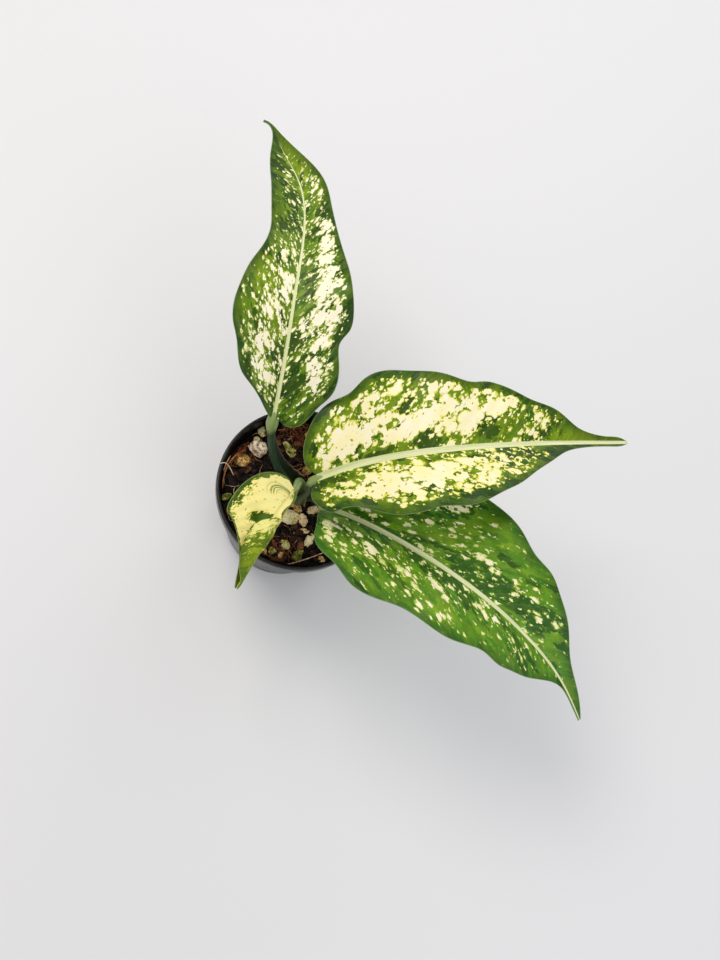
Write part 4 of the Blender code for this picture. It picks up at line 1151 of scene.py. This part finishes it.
def make_fibres(lumps, rng, finish):
    """Coir fibres, lying on the mix in loose curves: first those that follow the photograph, then
    tangles, then single fibres all over."""
    fibres = list(SEEN_FIBRES)
    for centre_x, centre_y, wide, count in TANGLES:
        for _ in range(count):
            line = []
            for _ in range(5):
                x, y = centre_x + rng.gauss(0, wide), centre_y + rng.gauss(0, wide)
                far = max(1.0, math.hypot(x, y) / TANGLE_REACH)
                x, y = x / far, y / far
                line.append((x, y, soil_height(x, y, lumps) + rng.uniform(0.3, 1.7)))
            fibres.append((line, rng.uniform(0.07, 0.15), rng.uniform(0.0, 0.5)))
    for x, y in spots_on_mix(rng, LOOSE_FIBRES, -0.5, 31):
        heading = rng.uniform(0, 2 * math.pi)
        bend = rng.uniform(-0.5, 0.5)
        line = []
        step = rng.uniform(1.0, 2.4)
        for k in range(6):
            x += step * math.cos(heading + bend * k)
            y += step * math.sin(heading + bend * k)
            far = math.hypot(x, y)
            if far > FIBRE_REACH:
                x, y = x * FIBRE_REACH / far, y * FIBRE_REACH / far
            line.append((x, y, soil_height(x, y, lumps) + 0.5 + 0.9 * rng.random()))
        fibres.append((line, rng.uniform(0.07, 0.16), rng.random()))
    thinning = 1 - 0.6 * np.linspace(-1, 1, FIBRE_RINGS) ** 4
    wides = np.tile([0.1, 0.2, 1.0], (FIBRE_RINGS, 1))
    points, faces, tones, first = [], [], [], 0
    for line, radius, tone in fibres:
        centres = natural_curve(line, FIBRE_RINGS)
        forwards = unit(np.gradient(centres, axis=0))
        sections = (radius * thinning)[:, None, None] * circle(FIBRE_SIDES)
        own, groups = ring_tube(centres, forwards, wides, sections)
        points.append(own)
        faces += [group + first for group in groups]
        tones.append(np.full(len(own), tone))
        first += len(own)
    notes = {"grain_tone": np.concatenate(tones)}
    piece = new_piece("coir_fibres", np.concatenate(points), faces, finish, notes)
    place_on_plant(piece, "potting_mix")


def grit_finish(name, grain, fine, roughness, depth, spread, whorl, *stops):
    """Matte mineral or plant matter. Two sizes of grain break up the colour and the surface; each
    loose piece also has its own tone."""
    made, add, shader = surface(name, Roughness=roughness, Specular_IOR_Level=0.3)
    place = add("TexCoord", out=3)
    place = add("VectorMath MULTIPLY", place, (1 / MM, 1 / MM, 1 / MM))
    tone = add("Attribute", out=2, attribute_name="grain_tone")
    broad = add("TexNoise", place, Scale=1 / grain, Detail=4.0, Roughness=0.65)
    small = add("TexVoronoi", place, Scale=1 / fine)
    share = add("Math MULTIPLY_ADD", tone, 0.4 * spread, broad)
    share = add("Math MULTIPLY_ADD", small, -0.3, share)
    if whorl:
        rings = add("VectorMath SUBTRACT", place, whorl)
        rings = add("TexWave RINGS", rings, Scale=0.13, Distortion=2.4, Detail=1.0, out=1,
                    rings_direction="Z")
        share = add("Math MULTIPLY_ADD", rings, 0.22, share)
        share = add("Math SUBTRACT", share, 0.14)
    colour = add("ValToRGB", share, stops=stops)
    height = add("Math MULTIPLY_ADD", small, 0.6, broad)
    bump = add("Bump", Height=height, Strength=0.9, Distance=depth * MM)
    fill(shader, {"Base Color": colour, "Normal": bump})
    return made


# Pot


def make_pot(finish):
    """The thin moulded pot with its rolled rim band and drain holes."""
    base, top, rim, level = BASE_RADIUS, WALL_TOP_RADIUS, RIM_RADIUS, POT_HEIGHT
    band_foot = POT_HEIGHT - RIM_BAND
    profile = [
        (0, 0.5), (base - 9.0, 0.5), (base - 8.6, 0.1), (base - 8.4, 0), (base - 1.2, 0),
        (base - 0.6, 0.15), (base - 0.15, 0.7), (base, 1.4),
        *[(base + (top - 0.2 - base) * share, 1.4 + (band_foot - 2.6) * share)
          for share in np.linspace(0.04, 0.99, 24)],
        (top - 0.2, band_foot - 1.2), (top + 0.1, band_foot - 0.85), (rim - 0.5, band_foot - 0.65),
        (rim - 0.15, band_foot - 0.45), (rim, band_foot), (rim, level - 1.0), (rim - 0.1, level - 0.5),
        (rim - 0.35, level - 0.12), (rim - 0.7, level), (rim - 1.1, level - 0.06),
        (rim - 1.4, level - 0.3), (rim - 1.6, level - 0.7), (top - WALL + 0.6, band_foot + 1.0),
        (top - WALL, band_foot - 1.0), (base - WALL, WALL + 1.0), (base - WALL - 0.3, WALL + 0.3),
        (base - WALL - 1.0, WALL), (0, WALL),
    ]
    points, faces = revolve(profile, POT_SIDES)
    pot = new_piece("pot_moulded", points, faces, finish)
    for k in range(DRAIN_HOLES):
        angle = 2 * math.pi * (k + 0.5) / DRAIN_HOLES
        points, faces = revolve([(0, -2), (DRAIN_RADIUS, -2), (DRAIN_RADIUS, 4), (0, 4)], DRAIN_SIDES)
        points += [DRAIN_RING * math.cos(angle), DRAIN_RING * math.sin(angle), 0]
        drill = new_piece("drill", points, faces, finish)
        hole = pot.modifiers.new("hole", "BOOLEAN")
        hole.operation, hole.solver, hole.object = "DIFFERENCE", "EXACT", drill
        whole = bpy.context.evaluated_depsgraph_get()
        drilled = bpy.data.meshes.new_from_object(pot.evaluated_get(whole))
        pot.modifiers.clear()
        pot.data = drilled
        bpy.data.objects.remove(drill)
    pot.data.shade_smooth()
    pot.data.set_sharp_from_angle(angle=math.radians(50))
    place_on_plant(pot, "pot_plastic", "pot")


def pot_finish(name):
    """Injection-moulded polypropylene, loaded with carbon black. The mould leaves it smooth, so it
    shows soft window-like highlights, broken by faint turning lines, scuffs and dried water marks."""
    made, add, shader = surface(name, IOR=1.49, Specular_IOR_Level=0.5)
    place = add("TexCoord", out=3)
    place = add("VectorMath MULTIPLY", place, (1 / MM, 1 / MM, 1 / MM))
    cloud = add("TexNoise", place, Scale=0.09, Detail=5.0, Roughness=0.6)
    scuff = add("Mapping", place, Scale=(0.5, 0.5, 4.0))
    scuff = add("TexNoise", scuff, Scale=1.0, Detail=5.0, Roughness=0.7)
    dust = add("MapRange", cloud, 0.52, 0.72, 0.0, 0.35)
    dust = add("Math MULTIPLY", dust, scuff)
    colour = add("MixRGB", dust, "#101011", "#55534f")
    gloss = add("MapRange", scuff, 0.35, 0.7, 0.22, 0.42)
    gloss = add("Math MULTIPLY_ADD", dust, 1.2, gloss)
    bump = add("Bump", Height=scuff, Strength=0.12, Distance=0.1 * MM)
    fill(shader, {"Base Color": colour, "Roughness": gloss, "Normal": bump})
    return made


# Stage


def make_stage():
    """A plain pale floor, three soft lights and the camera at the photograph's angle."""
    paper = surface("matt_paper", Base_Color="#e9e9eb", Roughness=0.9, Specular_IOR_Level=0.2)[0]
    corners = [(-FLOOR, -FLOOR, 0), (FLOOR, -FLOOR, 0), (FLOOR, FLOOR, 0), (-FLOOR, FLOOR, 0)]
    floor = new_piece("floor", corners, [np.array([[0, 1, 2, 3]])], paper)

    world = bpy.data.worlds.new("studio")
    world.use_nodes = True
    fill(world.node_tree.nodes["Background"], {"Color": "#f0f0f2", "Strength": 0.65})
    bpy.context.scene.world = world

    for name, place, size, power, tint in LAMPS:
        lamp = bpy.data.lights.new(name, "AREA")
        lamp.shape, lamp.size, lamp.energy = "DISK", size * MM, power
        lamp.color = paint(tint)[:3]
        stand = bpy.data.objects.new(name, lamp)
        stand.matrix_world = aimed(place, PLANT_MIDDLE)
        bpy.context.scene.collection.objects.link(stand)

    view = bpy.data.cameras.new("view")
    view.sensor_width, view.lens = SENSOR, LENS
    view.clip_start, view.clip_end = 0.01, 20
    camera = bpy.data.objects.new("view", view)
    camera.matrix_world = photo_camera()
    bpy.context.scene.collection.objects.link(camera)
    bpy.context.scene.camera = camera
    bpy.context.scene.view_settings.view_transform = "Standard"


def aimed(place, target):
    """The placing of a lamp that shines from one point towards another."""
    back = unit(np.array(place, float) - target)
    right = unit(np.cross([0.0, 1.0, 0.1], back))
    return placing(np.stack([right, np.cross(back, right), back], 1), place)


def placing(axes, place):
    """A placing matrix from three axes, as columns, and a point in millimetres."""
    matrix = Matrix.Identity(4)
    for row in range(3):
        matrix[row][:3] = [float(v) for v in axes[row]]
        matrix[row][3] = place[row] * MM
    return matrix


def photo_camera():
    """The camera's placing: above the rim at its distance, steepness and turn, then swung until the
    rim's centre stands where the photograph has it."""
    steep, turn = math.radians(CAMERA_STEEP), math.radians(CAMERA_TURN)
    back = np.array([0.0, -math.cos(steep), math.sin(steep)])
    level = np.array([1.0, 0.0, 0.0])
    rise = np.cross(back, level)
    right = math.cos(turn) * level + math.sin(turn) * rise
    up = math.cos(turn) * rise - math.sin(turn) * level
    focal = RIM_IN_PICTURE / RIM_RADIUS * CAMERA_AWAY
    sight = unit(np.array([RIM_RIGHT / focal, RIM_UP / focal, -1.0]))
    ahead = np.array([0.0, 0.0, -1.0])
    x, y, z = np.cross(sight, ahead)
    cross = np.array([[0, -z, y], [z, 0, -x], [-y, x, 0]])
    swing = np.eye(3) + cross + cross @ cross / (1 + sight @ ahead)
    axes = np.stack([right, up, back], 1) @ swing
    return placing(axes, np.array([0.0, 0.0, POT_HEIGHT]) + CAMERA_AWAY * back)


def main():
    speckled = leaf_finish("speckled_leaf", LEAF_LOOK, 0.0)
    lower = leaf_finish("lower_speckled_leaf", LOWER_BRIGHTENED_LOOK, 2.0)
    young = leaf_finish("young_leaf", YOUNG_LOOK, 4.0)
    blades = {
        "upper": make_blade("upper", UPPER, speckled, "leaf_speckled"),
        "right": make_blade("right", RIGHT, speckled, "leaf_speckled"),
        "lower": make_blade("lower", LOWER, lower, "leaf_speckled"),
        "young": make_blade("young", YOUNG, young, "leaf_young"),
    }
    stalk = stalk_finish("fleshy_stalk")
    for name, petiole in PETIOLES.items():
        make_petiole(name, petiole, blades[name], stalk)
    make_stem(stalk)

    lumps = soil_lumps(random.Random(7))
    grits = {kind: grit_finish(*look) for kind, look in GRITS.items()}
    make_soil(lumps, grits["peat"])
    make_grit(lumps, grits)
    make_pot(pot_finish("moulded_polypropylene"))
    make_stage()


main()
